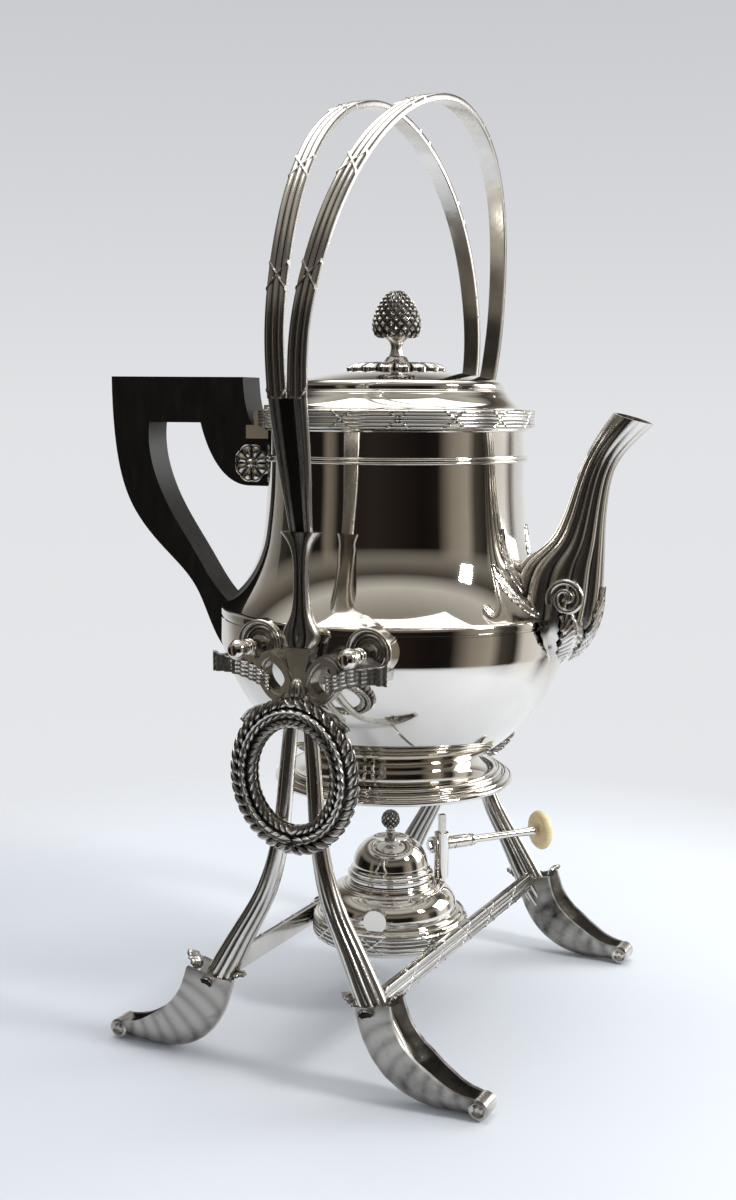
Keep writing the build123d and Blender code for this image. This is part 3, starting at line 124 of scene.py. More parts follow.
def fair(points, count):
    """Evenly spaced points on a natural cubic spline through the given ones."""
    p = np.asarray(points, float)
    t = np.r_[0, np.cumsum(np.linalg.norm(np.diff(p, axis=0), axis=1))]
    h = np.diff(t)
    size = len(p)
    lhs = np.zeros((size, size))
    rhs = np.zeros(p.shape)
    lhs[0, 0] = lhs[-1, -1] = 1
    for i in range(1, size - 1):
        lhs[i, i - 1 : i + 2] = h[i - 1], 2 * (h[i - 1] + h[i]), h[i]
        rhs[i] = 6 * ((p[i + 1] - p[i]) / h[i] - (p[i] - p[i - 1]) / h[i - 1])
    m = np.linalg.solve(lhs, rhs)
    s = np.linspace(0, t[-1], count)
    k = np.clip(np.searchsorted(t, s, side="right") - 1, 0, size - 2)
    d, e, g = (s - t[k])[:, None], (t[k + 1] - s)[:, None], h[k][:, None]
    bend = (m[k] * e**3 + m[k + 1] * d**3) / (6 * g)
    return bend + (p[k] / g - m[k] * g / 6) * e + (p[k + 1] / g - m[k + 1] * g / 6) * d


def arc(a, b, c, count=14):
    """Points on the circle through three points in a plane."""
    (ax, ay), (bx, by), (cx, cy) = a, b, c
    d = 2 * (ax * (by - cy) + bx * (cy - ay) + cx * (ay - by))
    aa, bb, cc = ax * ax + ay * ay, bx * bx + by * by, cx * cx + cy * cy
    ux = (aa * (by - cy) + bb * (cy - ay) + cc * (ay - by)) / d
    uy = (aa * (cx - bx) + bb * (ax - cx) + cc * (bx - ax)) / d
    start, middle, end = (math.atan2(y - uy, x - ux) for x, y in (a, b, c))
    turn = (end - start) % (2 * math.pi)
    if (middle - start) % (2 * math.pi) > turn:
        turn -= 2 * math.pi
    radius = math.hypot(ax - ux, ay - uy)
    steps = start + turn * np.linspace(0, 1, count)
    return [(ux + radius * math.cos(s), uy + radius * math.sin(s)) for s in steps]


def grid(rows, columns, wrap_rows=False, wrap_columns=False):
    """Quads over a grid of points, closed either way where asked."""
    faces = []
    for i in range(rows if wrap_rows else rows - 1):
        for j in range(columns if wrap_columns else columns - 1):
            a, b = i * columns, ((i + 1) % rows) * columns
            k = (j + 1) % columns
            faces.append((a + j, b + j, b + k, a + k))
    return faces


def turned(profile, segments=96, relief=None, wrap=False):
    """Points, faces and hollowness of a shape turned about Z from (radius, height) points."""
    profile = np.asarray(profile, float)
    theta = np.linspace(0, 2 * np.pi, segments, endpoint=False)[:, None]
    radius = np.repeat(profile[None, :, 0], segments, axis=0)
    height = np.repeat(profile[None, :, 1], segments, axis=0)
    hollow = np.zeros(radius.shape)
    if relief:
        radius, height, hollow = relief(theta, radius, height)
        hollow = np.broadcast_to(hollow, radius.shape)
    points = np.stack([radius * np.cos(theta), radius * np.sin(theta), height], -1)
    faces = grid(segments, len(profile), wrap_rows=True, wrap_columns=wrap)
    return points.reshape(-1, 3), faces, hollow.ravel()


def swept(centres, across, outward, sections, hollow=None):
    """Points and faces of closed sections set along a line, with both ends closed."""
    centres, across, outward = (np.asarray(a, float)[:, None, :] for a in (centres, across, outward))
    sections = np.asarray(sections, float)
    points = centres + sections[:, :, :1] * across + sections[:, :, 1:] * outward
    rows, columns = sections.shape[:2]
    faces = grid(rows, columns, wrap_columns=True)
    faces += [tuple(range(columns)), tuple(range((rows - 1) * columns, rows * columns))]
    dark = np.zeros(rows * columns) if hollow is None else np.asarray(hollow).ravel()
    return points.reshape(-1, 3), faces, dark


def unit(vectors):
    """Each vector at length one."""
    vectors = np.asarray(vectors, float)
    return vectors / np.linalg.norm(vectors, axis=-1, keepdims=True)


def headings(points):
    """Direction of travel at each point of a line."""
    return unit(np.gradient(np.asarray(points, float), axis=0))


def set_on(shape, point, direction=(0, 0, 1)):
    """The shape with its Z axis along a direction from a point."""
    points, faces, hollow = shape
    turn = np.array(Vector((0, 0, 1)).rotation_difference(Vector(direction)).to_matrix())
    return points @ turn.T + np.asarray(point, float), faces, hollow


def joined(shapes):
    """Several shapes as one."""
    points, faces, hollow = [], [], []
    start = 0
    for p, f, h in shapes:
        points.append(p)
        hollow.append(h)
        faces += [tuple(i + start for i in face) for face in f]
        start += len(p)
    return np.concatenate(points), faces, np.concatenate(hollow)


def flipped(shape, along_x=1, along_y=1):
    """The shape mirrored about the stand's middle planes."""
    points, faces, hollow = shape
    return points * np.array([along_x, along_y, 1]), faces, hollow


def reeds_and_ribbon(s, v, width, reeds, period, first=0.0, ribbon=0.9):
    """Height, 0 to 1, of reeds tied by crossed ribbons: s runs along, v across from -1 to 1."""
    reed = 0.78 * np.sqrt(np.clip(1 - (2 * (((v + 1) / 2 * reeds) % 1) - 1) ** 2, 0, 1))
    offset = (s - first + period / 2) % period - period / 2
    run = width * v * 0.62
    apart = np.minimum(np.abs(offset - run), np.abs(offset + run))
    tie = np.clip(1.3 * (1 - (apart / ribbon) ** 2), 0, 1)
    return np.maximum(reed, tie)


def leaf(spine, side, normal, half_widths, lobes=4, cup=0.6, vein=0.45, thick=0.7, columns=13):
    """A lobed and veined leaf, closed underneath, laid along a spine."""
    spine, side, normal = (np.asarray(a, float)[:, None, :] for a in (spine, side, normal))
    rows = len(half_widths)
    t = np.linspace(0, 1, rows)[:, None]
    a = np.linspace(-1, 1, columns)[None, :]
    lobed = 1 - 0.22 * np.abs(np.sin(np.pi * lobes * t)) * np.abs(a)
    width = np.asarray(half_widths, float)[:, None] * lobed
    veins = np.abs(np.sin(np.pi * (lobes * 2 * t - 1.6 * np.abs(a))))
    midrib = np.exp(-((a / 0.12) ** 2))
    lift = vein * veins * (1 - midrib) + 1.5 * vein * midrib - cup * a**2
    hollow = np.clip(1 - veins - midrib, 0, 1)
    top = spine + side * (a * width)[..., None] + normal * lift[..., None]
    under = spine + side * (a * width)[..., None] - normal * (thick + cup * a**2)[..., None]
    ring = np.concatenate([top, under[:, ::-1]], axis=1)
    faces = grid(rows, 2 * columns, wrap_columns=True)
    faces += [tuple(range(2 * columns)), tuple(range((rows - 1) * 2 * columns, rows * 2 * columns))]
    dark = np.concatenate([hollow, np.ones_like(hollow)], axis=1)
    return ring.reshape(-1, 3), faces, dark.ravel()


# Pieces


def finish_mesh(mesh, sharp=32):
    """Merge doubles, face outwards, and shade smooth across edges below an angle."""
    bm = bmesh.new()
    bm.from_mesh(mesh)
    bmesh.ops.remove_doubles(bm, verts=bm.verts, dist=2e-6)
    bmesh.ops.recalc_face_normals(bm, faces=bm.faces)
    limit = math.radians(sharp)
    for face in bm.faces:
        face.smooth = True
    for edge in bm.edges:
        edge.smooth = len(edge.link_faces) == 2 and edge.calc_face_angle(0) < limit
    bm.to_mesh(mesh)
    bm.free()


def piece(name, shape, body, finish, nodes=(), sharp=32):
    """An object made of a shape, riding on a body and standing for its solids."""
    points, faces, hollow = shape
    mesh = bpy.data.meshes.new(name)
    placed = (np.asarray(points) + np.array([STAND_X, 0, 0])) * MM
    mesh.from_pydata(placed.tolist(), [], [tuple(map(int, f)) for f in faces])
    dark = mesh.attributes.new("hollow", "FLOAT", "POINT")
    dark.data.foreach_set("value", np.clip(hollow, 0, 1).astype(np.float32))
    finish_mesh(mesh, sharp)
    thing = bpy.data.objects.new(name, mesh)
    bpy.context.scene.collection.objects.link(thing)
    mesh.materials.append(finish)
    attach(thing, body)
    if nodes:
        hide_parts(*nodes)
    return thing


def softened(node, body, finish, sharp=28, bevel=0.0):
    """A smooth-shaded copy of a solid in its place."""
    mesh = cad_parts[node].data.copy()
    mesh.materials.clear()
    finish_mesh(mesh, sharp)
    thing = bpy.data.objects.new(f"soft_{node}", mesh)
    bpy.context.scene.collection.objects.link(thing)
    mesh.materials.append(finish)
    if bevel:
        edge = thing.modifiers.new("Broken edges", "BEVEL")
        edge.width = bevel * MM
        edge.segments = 2
        edge.limit_method = "ANGLE"
        edge.angle_limit = math.radians(40)
        edge.harden_normals = True
    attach(thing, body)
    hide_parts(node)
    return thing


def repeat_tree():
    """Nodes that set one small piece on every marked point, turned and sized by its marks."""
    if "Repeat at marks" in bpy.data.node_groups:
        return bpy.data.node_groups["Repeat at marks"]
    tree = bpy.data.node_groups.new("Repeat at marks", "GeometryNodeTree")
    face = tree.interface
    face.new_socket("Marks", in_out="INPUT", socket_type="NodeSocketGeometry")
    face.new_socket("Small piece", in_out="INPUT", socket_type="NodeSocketObject")
    face.new_socket("Size", in_out="INPUT", socket_type="NodeSocketFloat").default_value = 1.0
    face.new_socket("Finish", in_out="INPUT", socket_type="NodeSocketMaterial")
    face.new_socket("Pieces", in_out="OUTPUT", socket_type="NodeSocketGeometry")
    start = tree.nodes.new("NodeGroupInput")
    end = tree.nodes.new("NodeGroupOutput")

    def add(kind, settings=None, **links):
        node = tree.nodes.new(kind)
        for key, value in (settings or {}).items():
            setattr(node, key, value)
        for key, source in links.items():
            tree.links.new(source, node.inputs[key.replace("_", " ")])
        return node

    small = add("GeometryNodeObjectInfo", {"transform_space": "ORIGINAL"},
        Object=start.outputs["Small piece"])
    turn = add("GeometryNodeInputNamedAttribute", {"data_type": "FLOAT_VECTOR"})
    turn.inputs["Name"].default_value = "turn"
    size = add("GeometryNodeInputNamedAttribute", {"data_type": "FLOAT_VECTOR"})
    size.inputs["Name"].default_value = "size"
    euler = add("FunctionNodeEulerToRotation", Euler=turn.outputs["Attribute"])
    scale = add("ShaderNodeVectorMath", {"operation": "SCALE"}, Vector=size.outputs["Attribute"])
    tree.links.new(start.outputs["Size"], scale.inputs["Scale"])
    spread = add(
        "GeometryNodeInstanceOnPoints",
        Points=start.outputs["Marks"],
        Instance=small.outputs["Geometry"],
        Rotation=euler.outputs["Rotation"],
        Scale=scale.outputs["Vector"],
    )
    real = add("GeometryNodeRealizeInstances", Geometry=spread.outputs["Instances"])
    coat = add(
        "GeometryNodeSetMaterial", Geometry=real.outputs["Geometry"], Material=start.outputs["Finish"]
    )
    tree.links.new(coat.outputs["Geometry"], end.inputs["Pieces"])
    return tree


def repeated(name, small, marks, body, finish, nodes=(), size=1.0):
    """Copies of a small shape at marks of (point, x axis, z axis, scale), as one plain mesh."""
    mesh = bpy.data.meshes.new(f"{name}_small")
    mesh.from_pydata((np.asarray(small[0]) * MM).tolist(), [], [tuple(f) for f in small[1]])
    dark = mesh.attributes.new("hollow", "FLOAT", "POINT")
    dark.data.foreach_set("value", np.clip(small[2], 0, 1).astype(np.float32))
    finish_mesh(mesh, 50)
    seed = bpy.data.objects.new(f"{name}_small", mesh)
    bpy.context.scene.collection.objects.link(seed)

    places = bpy.data.meshes.new(name)
    spots = [(np.asarray(m[0]) + np.array([STAND_X, 0, 0])) * MM for m in marks]
    places.from_pydata([list(s) for s in spots], [], [])
    turns = []
    for _, along, up, _ in marks:
        z = Vector(up).normalized()
        x = (Vector(along) - Vector(along).dot(z) * z).normalized()
        turns.append(Matrix((x, z.cross(x), z)).transposed().to_euler())
    turn = places.attributes.new("turn", "FLOAT_VECTOR", "POINT")
    turn.data.foreach_set("vector", np.array([list(t) for t in turns], np.float32).ravel())
    scale = places.attributes.new("size", "FLOAT_VECTOR", "POINT")
    scale.data.foreach_set("vector", np.array([m[3] for m in marks], np.float32).ravel())
    holder = bpy.data.objects.new(name, places)
    bpy.context.scene.collection.objects.link(holder)
    tree = repeat_tree()
    spread = holder.modifiers.new("Repeat", "NODES")
    spread.node_group = tree
    sockets = {s.name: s.identifier for s in tree.interface.items_tree if s.in_out == "INPUT"}
    spread[sockets["Small piece"]] = seed
    spread[sockets["Size"]] = size
    spread[sockets["Finish"]] = finish
    bpy.context.view_layer.update()
    graph = bpy.context.evaluated_depsgraph_get()
    plain = bpy.data.meshes.new_from_object(
        holder.evaluated_get(graph), preserve_all_data_layers=True, depsgraph=graph
    )
    holder.modifiers.clear()
    holder.data = plain
    plain.name = name
    if not plain.materials:
        plain.materials.append(finish)
    bpy.data.objects.remove(seed)
    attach(holder, body)
    if nodes:
        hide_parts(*nodes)
    return holder


# Finishes


def node(tree, kind, settings=None, stops=None, **links):
    """A node with its settings, links or values for its inputs, and (position, colour) stops of a ramp."""
    made = tree.nodes.new(kind)
    for key, value in (settings or {}).items():
        setattr(made, key, value)
    for key, value in links.items():
        socket = made.inputs[int(key[1:])] if key[1:].isdigit() else made.inputs[key.replace("_", " ")]
        if isinstance(value, bpy.types.NodeSocket):
            tree.links.new(value, socket)
        else:
            socket.default_value = value
    if stops:
        line = made.color_ramp
        while len(line.elements) < len(stops):
            line.elements.new(0.5)
        for element, (position, colour) in zip(line.elements, stops):
            element.position = position
            element.color = colour
    return made


def new_finish(name):
    """An empty material with a shader ready to be fed."""
    made = bpy.data.materials.new(name)
    made.use_nodes = True
    tree = made.node_tree
    tree.nodes.clear()
    shader = tree.nodes.new("ShaderNodeBsdfPrincipled")
    out = tree.nodes.new("ShaderNodeOutputMaterial")
    tree.links.new(shader.outputs["BSDF"], out.inputs["Surface"])
    return made, tree, shader


def silver_finish(name, settings, tarnish, roughness, wire):
    """Silver, hand polished; tarnish stays in the hollows and fine rubbing marks on the flats."""
    made, tree, shader = new_finish(name)
    place = node(tree, "ShaderNodeTexCoord").outputs["Object"]
    hollow = node(tree, "ShaderNodeAttribute", {"attribute_name": "hollow"}).outputs["Fac"]
    # Soft clouds of tarnish some 30 mm across
    cloud = node(tree, "ShaderNodeTexNoise", Vector=place, Scale=34.0, Detail=5.0, Roughness=0.6)
    veil = node(
        tree, "ShaderNodeMapRange", Value=cloud.outputs["Fac"], From_Min=0.45, From_Max=0.8, To_Max=tarnish
    )
    dark = node(tree, "ShaderNodeMath", {"operation": "POWER"}, _0=hollow, _1=1.3)
    total = node(
        tree, "ShaderNodeMath", {"operation": "ADD", "use_clamp": True}, _0=veil.outputs[0],
            _1=dark.outputs[0]
    )
    colour = node(
        tree,
        "ShaderNodeMix",
        {"data_type": "RGBA"},
        _0=total.outputs[0],
        _6=rgb(settings.silver),
        _7=rgb(settings.oxide),
    )
    tree.links.new(colour.outputs[2], shader.inputs["Base Color"])
    rough = node(
        tree, "ShaderNodeMapRange", Value=total.outputs[0], To_Min=roughness, To_Max=0.5
    )
    tree.links.new(rough.outputs[0], shader.inputs["Roughness"])
    shader.inputs["Metallic"].default_value = 1.0
    # Rubbing marks, drawn at 1 mm because real ones would not show
    marks = node(tree, "ShaderNodeTexNoise", Vector=place, Scale=260.0, Detail=3.0, Distortion=0.6)
    waves = node(tree, "ShaderNodeTexNoise", Vector=place, Scale=22.0, Detail=1.0)
    fine = node(tree, "ShaderNodeBump", Height=marks.outputs["Fac"], Strength=wire, Distance=0.0002)
    broad = node(
        tree, "ShaderNodeBump", Height=waves.outputs["Fac"], Strength=0.12, Distance=0.0008,
        Normal=fine.outputs["Normal"],
    )
    tree.links.new(broad.outputs["Normal"], shader.inputs["Normal"])
    return made


def ebony_finish(settings):
    """Ebony, oiled and rubbed: nearly black, with long fine pores and a satin sheen."""
    made, tree, shader = new_finish("Oiled ebony")
    place = node(tree, "ShaderNodeTexCoord").outputs["Object"]
    along = node(tree, "ShaderNodeMapping", Vector=place, Scale=(260.0, 900.0, 60.0))
    grain = node(tree, "ShaderNodeTexNoise", Vector=along.outputs["Vector"], Scale=1.0, Detail=5.0)
    colour = node(
        tree, "ShaderNodeValToRGB", Fac=grain.outputs["Fac"],
        stops=[(0.35, rgb("0B0A09")), (0.6, rgb(settings.ebony)), (0.85, rgb("25201C"))],
    ).outputs["Color"]
    tree.links.new(colour, shader.inputs["Base Color"])
    rough = node(
        tree, "ShaderNodeMapRange", Value=grain.outputs["Fac"], From_Min=0.3, From_Max=0.7, To_Min=0.3,
            To_Max=0.42
    )
    tree.links.new(rough.outputs[0], shader.inputs["Roughness"])
    bump = node(tree, "ShaderNodeBump", Height=grain.outputs["Fac"], Strength=0.12, Distance=0.0002)
    tree.links.new(bump.outputs["Normal"], shader.inputs["Normal"])
    shader.inputs["Specular IOR Level"].default_value = 0.4
    return made


def bone_finish(settings):
    """Bone, turned and polished: cream with faint growth rings and brown age in the pores."""
    made, tree, shader = new_finish("Polished bone")
    place = node(tree, "ShaderNodeTexCoord").outputs["Object"]
    rings = node(
        tree, "ShaderNodeTexWave", {"bands_direction": "Z"}, Vector=place, Scale=160.0, Distortion=5.0,
            Detail=3.0
    )
    spots = node(tree, "ShaderNodeTexNoise", Vector=place, Scale=420.0, Detail=4.0)
    ringed = node(
        tree, "ShaderNodeValToRGB", Fac=rings.outputs["Fac"],
        stops=[(0.0, rgb(settings.bone)), (1.0, rgb("E0D29F"))],
    ).outputs["Color"]
    aged = node(tree, "ShaderNodeMix", {"data_type": "RGBA"})
    fade = node(
        tree, "ShaderNodeMapRange", Value=spots.outputs["Fac"], From_Min=0.55, From_Max=0.8, To_Max=0.5
    )
    tree.links.new(fade.outputs[0], aged.inputs[0])
    tree.links.new(ringed, aged.inputs[6])
    aged.inputs[7].default_value = rgb("B08E4E")
    tree.links.new(aged.outputs[2], shader.inputs["Base Color"])
    shader.inputs["Roughness"].default_value = 0.3
    shader.inputs["Subsurface Weight"].default_value = 0.1
    return made


def cotton_finish():
    """Plaited cotton wick: off white, scorched brown towards its top."""
    made, tree, shader = new_finish("Plaited cotton")
    place = node(tree, "ShaderNodeTexCoord").outputs["Object"]
    weave = node(tree, "ShaderNodeTexWave", {"bands_direction": "DIAGONAL"}, Vector=place, Scale=420.0)
    height = node(tree, "ShaderNodeSeparateXYZ", Vector=place)
    burn = node(
        tree, "ShaderNodeMapRange", Value=height.outputs["Z"], From_Min=0.063, From_Max=0.0665
    )
    colour = node(
        tree, "ShaderNodeValToRGB", Fac=burn.outputs[0],
        stops=[(0.0, rgb("D9CFB4")), (0.7, rgb("7A5A38")), (1.0, rgb("2A1E16"))],
    ).outputs["Color"]
    tree.links.new(colour, shader.inputs["Base Color"])
    shader.inputs["Roughness"].default_value = 0.9
    bump = node(tree, "ShaderNodeBump", Height=weave.outputs["Fac"], Strength=0.5, Distance=0.0005)
    tree.links.new(bump.outputs["Normal"], shader.inputs["Normal"])
    return made


FINISHES = {}


def finish(key):
    """The material for one real finish, made once."""
    settings = bpy.context.scene.kettle_finish
    if key not in FINISHES:
        FINISHES[key] = {
            "sheet": lambda: silver_finish("Hand polished silver sheet", settings, 0.10, 0.045, 0.03),
            "cast": lambda: silver_finish("Cast and chased silver", settings, 0.30, 0.13, 0.18),
            "worn": lambda: silver_finish("Cast silver, dark with age", settings, 0.75, 0.2, 0.25),
            "ebony": lambda: ebony_finish(settings),
            "bone": lambda: bone_finish(settings),
            "cotton": cotton_finish,
        }[key]()
    return FINISHES[key]


# Kettle shell


def on_kettle(shape):
    """The shape moved onto the kettle's axis."""
    return set_on(shape, (KETTLE_X, 0, 0))


SHELL_OUTSIDE = [
    (0, 121.5),
    (39.5, 121.5),
    *arc((39.5, 121.5), (67.3, 146.0), (81.0, 176.0), 40)[1:],
    (81.0, 187.6),
    (80.5, 188.0),
    (80.5, 188.6),
    (81.0, 189.0),
    (81.0, 191.2),
    (80.7, 191.7),
    *arc((80.0, 191.9), (68.3, 205.5), (61.2, 225.0), 30),
    *arc((61.2, 225.0), (59.75, 242.0), (59.3, 259.0), 12)[1:],
    (59.3, 283.0),
]


def kettle_radius(z):
    """Radius of the kettle's outside at a height above its foot."""
    line = np.array([p for p in SHELL_OUTSIDE if p[0] > 1])
    return np.interp(z, line[:, 1], line[:, 0])


class KETTLE_OT_shell(bpy.types.Operator):
    """Make the kettle's body, its rim, neck ring and foot"""

    bl_idname = "kettle.shell"
    bl_label = "Kettle shell"

    def execute(self, context):
        sizes = context.scene.kettle_sizes
        inner = [(max(r - 1.2, 0), z + (1.2 if z < 150 else 0)) for r, z in SHELL_OUTSIDE]
        body = turned(SHELL_OUTSIDE + inner[::-1], 160)
        piece("body_shell", on_kettle(body), "kettle", finish("sheet"), ["kettle_body", "kettle_bowl"])

        face = [(63.6, z) for z in np.linspace(275.0, 282.1, 30)]
        profile = [(59.3, 272.9), (60.4, 273.1), (60.9, 273.7), (60.9, 274.3), (62.6, 274.4)]
        profile += face + [(62.6, 282.6), (59.3, 282.6)]

        def rim_relief(theta, radius, height):
            v = (height - 278.55) / 3.75
            pattern = reeds_and_ribbon(
                theta * 63.6, v, 7.5, 5, 2 * np.pi * 63.6 / sizes.rim_ties, first=4.0, ribbon=0.8
            )
            band = radius > 63.5
            low = sizes.reed_depth * (1 - pattern)
            return radius - np.where(band, low, 0), height, np.where(band, (1 - pattern) ** 1.2, 0)

        rim = turned(profile, 960, rim_relief, wrap=True)
        piece("reeded_rim", on_kettle(rim), "kettle", finish("cast"), ["kettle_rim"])

        ring = [(59.3, 259.0)]
        for middle in (259.95, 261.6):
            ring += [(60.2 + 1.0 * math.sin(a), middle - 0.72 * math.cos(a)) for a in np.linspace(0,
                math.pi, 9)]
        ring += [(59.3, 262.3)]
        piece("neck_beads", on_kettle(turned(ring, 160, wrap=True)), "kettle", finish("sheet"), ["neck_ring"])

        foot = [
            (36.5, 121.5),
            (39.5, 121.5),
            *arc((39.5, 121.5), (42.7, 117.4), (48.2, 115.9), 14)[1:],
            (48.6, 115.4),
            *arc((49.3, 115.6), (50.8, 115.0), (51.0, 113.6), 8),
            (50.6, 113.2),
            *arc((51.0, 112.9), (53.6, 113.2), (54.4, 112.2), 8),
            *arc((54.8, 111.9), (56.2, 111.2), (55.8, 109.6), 8),
            (54.6, 109.6),
            (54.6, 111.0),
            (48.5, 111.6),
            *arc((48.5, 111.6), (39.8, 114.6), (36.5, 121.5), 10)[1:-1],
        ]
        piece("spun_foot", on_kettle(turned(foot, 160, wrap=True)), "kettle", finish("sheet"),
            ["kettle_foot"])
        return {"FINISHED"}


# Lid


def cone_scale():
    """One scale of a cone: a low pyramid over a diamond."""
    points = [(-1, 0, 0), (0, -1, 0), (1, 0, 0), (0, 1, 0), (0, 0.1, 1.0)]
    points += [(-1, 0, -0.6), (0, -1, -0.6), (1, 0, -0.6), (0, 1, -0.6)]
    faces = [(0, 1, 4), (1, 2, 4), (2, 3, 4), (3, 0, 4), (8, 7, 6, 5)]
    faces += [(0, 5, 6, 1), (1, 6, 7, 2), (2, 7, 8, 3), (3, 8, 5, 0)]
    return np.array(points, float), faces, np.array([1, 1, 1, 1, 0, 1, 1, 1, 1.0])


def cone_marks(line, rows, around, centre, stand_out):
    """Marks for scales in offset rows up a turned outline."""
    line = fair(line, rows + 1)
    way = headings(line)
    marks = []
    for row, ((radius, z), (dr, dz)) in enumerate(zip(line, way)):
        if radius < 0.12 * line[:, 0].max():
            continue
        step = 2 * math.pi / around
        for i in range(around):
            a = (i + 0.5 * (row % 2)) * step
            out = np.array([math.cos(a) * dz, math.sin(a) * dz, -dr])
            point = np.array([centre + radius * math.cos(a), radius * math.sin(a), z])
            side = (-math.sin(a), math.cos(a), 0)
            wide = radius * step / 2
            tall = np.linalg.norm(line[1] - line[0])
            marks.append((point, side, out, (wide, tall, stand_out * (0.5 + 0.5 * radius / line[:,
                0].max()))))
    return marks


class KETTLE_OT_lid(bpy.types.Operator):
    """Make the lid, its leaf rosette, its cone and its hinge"""

    bl_idname = "kettle.lid"
    bl_label = "Lid"

    def execute(self, context):
        outside = [
            *arc((60.0, 283.0), (55.9, 285.2), (52.9, 288.9), 14),
            (52.5, 289.5),
            *arc((52.4, 289.6), (51.2, 290.6), (50.4, 290.2), 6),
            (50.0, 290.6),
            *arc((49.9, 290.8), (50.1, 293.6), (48.3, 295.2), 8),
            *arc((48.0, 295.3), (26.0, 299.8), (0.01, 301.0), 24),
        ]
        inside = [(0, 299.4), (26.0, 298.1), (46.0, 293.9), (48.2, 290.0), (50.6, 287.6), (53.4, 284.4)]
        inside += [(56.3, 283.4), (56.3, 280.5), (57.4, 280.5), (57.4, 283.0)]
        dome = turned(outside + inside, 160, wrap=False)
        ring = [(57.4, 283.0), (60.0, 283.0)]
        seat = turned(ring, 160)
        piece("lid_shell", on_kettle(joined([dome, seat])), "lid", finish("sheet"), ["lid_dome"])

        def leaves(theta, radius, height):
            t = np.clip((radius - 5) / 18.3, 0, 1)
            petal = np.abs(np.sin(8 * theta))
            fine = np.abs(np.sin(40 * theta))
            edge = 1 - 0.16 * (1 - petal**0.7) * t**2
            lift = (0.55 * petal**0.6 + 0.25 * fine * t) * t * (height > 300.9)
            dark = np.clip((1 - petal) ** 2 * 1.1 + 0.35 * (1 - fine) * t, 0, 1) * (t > 0.05)
            return radius * edge, height + lift - 0.6 * t * (height > 300.9), dark

        top = [(3.0, 307.0), (4.6, 306.6), (5.2, 305.6), (6.0, 304.2)]
        top += [tuple(p) for p in fair([(6.6, 303.8), (10, 304.0), (15, 304.0), (20, 303.2), (23.3,
            301.4)], 26)]
        rosette = turned([(1.6, 307.0)] + top + [(23.0, 300.2), (1.6, 300.2)], 480, leaves, wrap=True)
        piece("leaf_rosette", on_kettle(rosette), "lid", finish("cast"), ["lid_rosette"])

        stem = [(0, 296), (1.6, 296), (1.6, 307), (3.6, 307)]
        stem += [tuple(p) for p in fair([(3.6, 307.0), (2.8, 309.5), (2.9, 312.2), (4.4, 314.4), (6.4,
            315.6)], 12)][1:]
        outline = [(8.2, 315.8), (10.3, 318.6), (10.5, 322.0), (9.0, 327.6), (6.3, 332.4), (3.0, 335.6)]
        core = stem + [tuple(p) for p in fair([(6.6, 315.7)] + outline + [(0.2, 336.2)], 30)] + [(0, 336.2)]
        piece("cone_core", on_kettle(turned(core, 64)), "lid", finish("worn"), ["lid_finial"])
        rows = context.scene.kettle_sizes.cone_rows
        marks = cone_marks([(7.6, 315.9)] + outline + [(0.6, 336.2)], rows, 16, KETTLE_X, 0.95)
        repeated("cone_scales", cone_scale(), marks, "lid", finish("worn"))
        for name in ("lid_hinge_leaf", "finial_nut"):
            softened(name, "lid", finish("sheet"))
        for name in ("hinge_bracket", "hinge_pin"):
            softened(name, "kettle", finish("sheet"))
        return {"FINISHED"}


# Spout

SPOUT_STATIONS = (
    (171.5, 70.0, 86.3, 6.5),
    (180.0, 64.0, 94.6, 12.5),
    (190.0, 60.0, 100.0, 15.5),
    (202.0, 60.0, 102.3, 15.5),
    (214.0, 64.0, 102.7, 13.6),
    (225.0, 76.5, 102.7, 11.0),
    (234.0, 82.5, 102.8, 9.4),
    (247.0, 87.3, 103.9, 8.0),
    (258.0, 91.4, 106.4, 7.6),
    (268.0, 96.8, 112.6, 8.3),
    (279.2, 105.6, 123.0, 9.4),
)


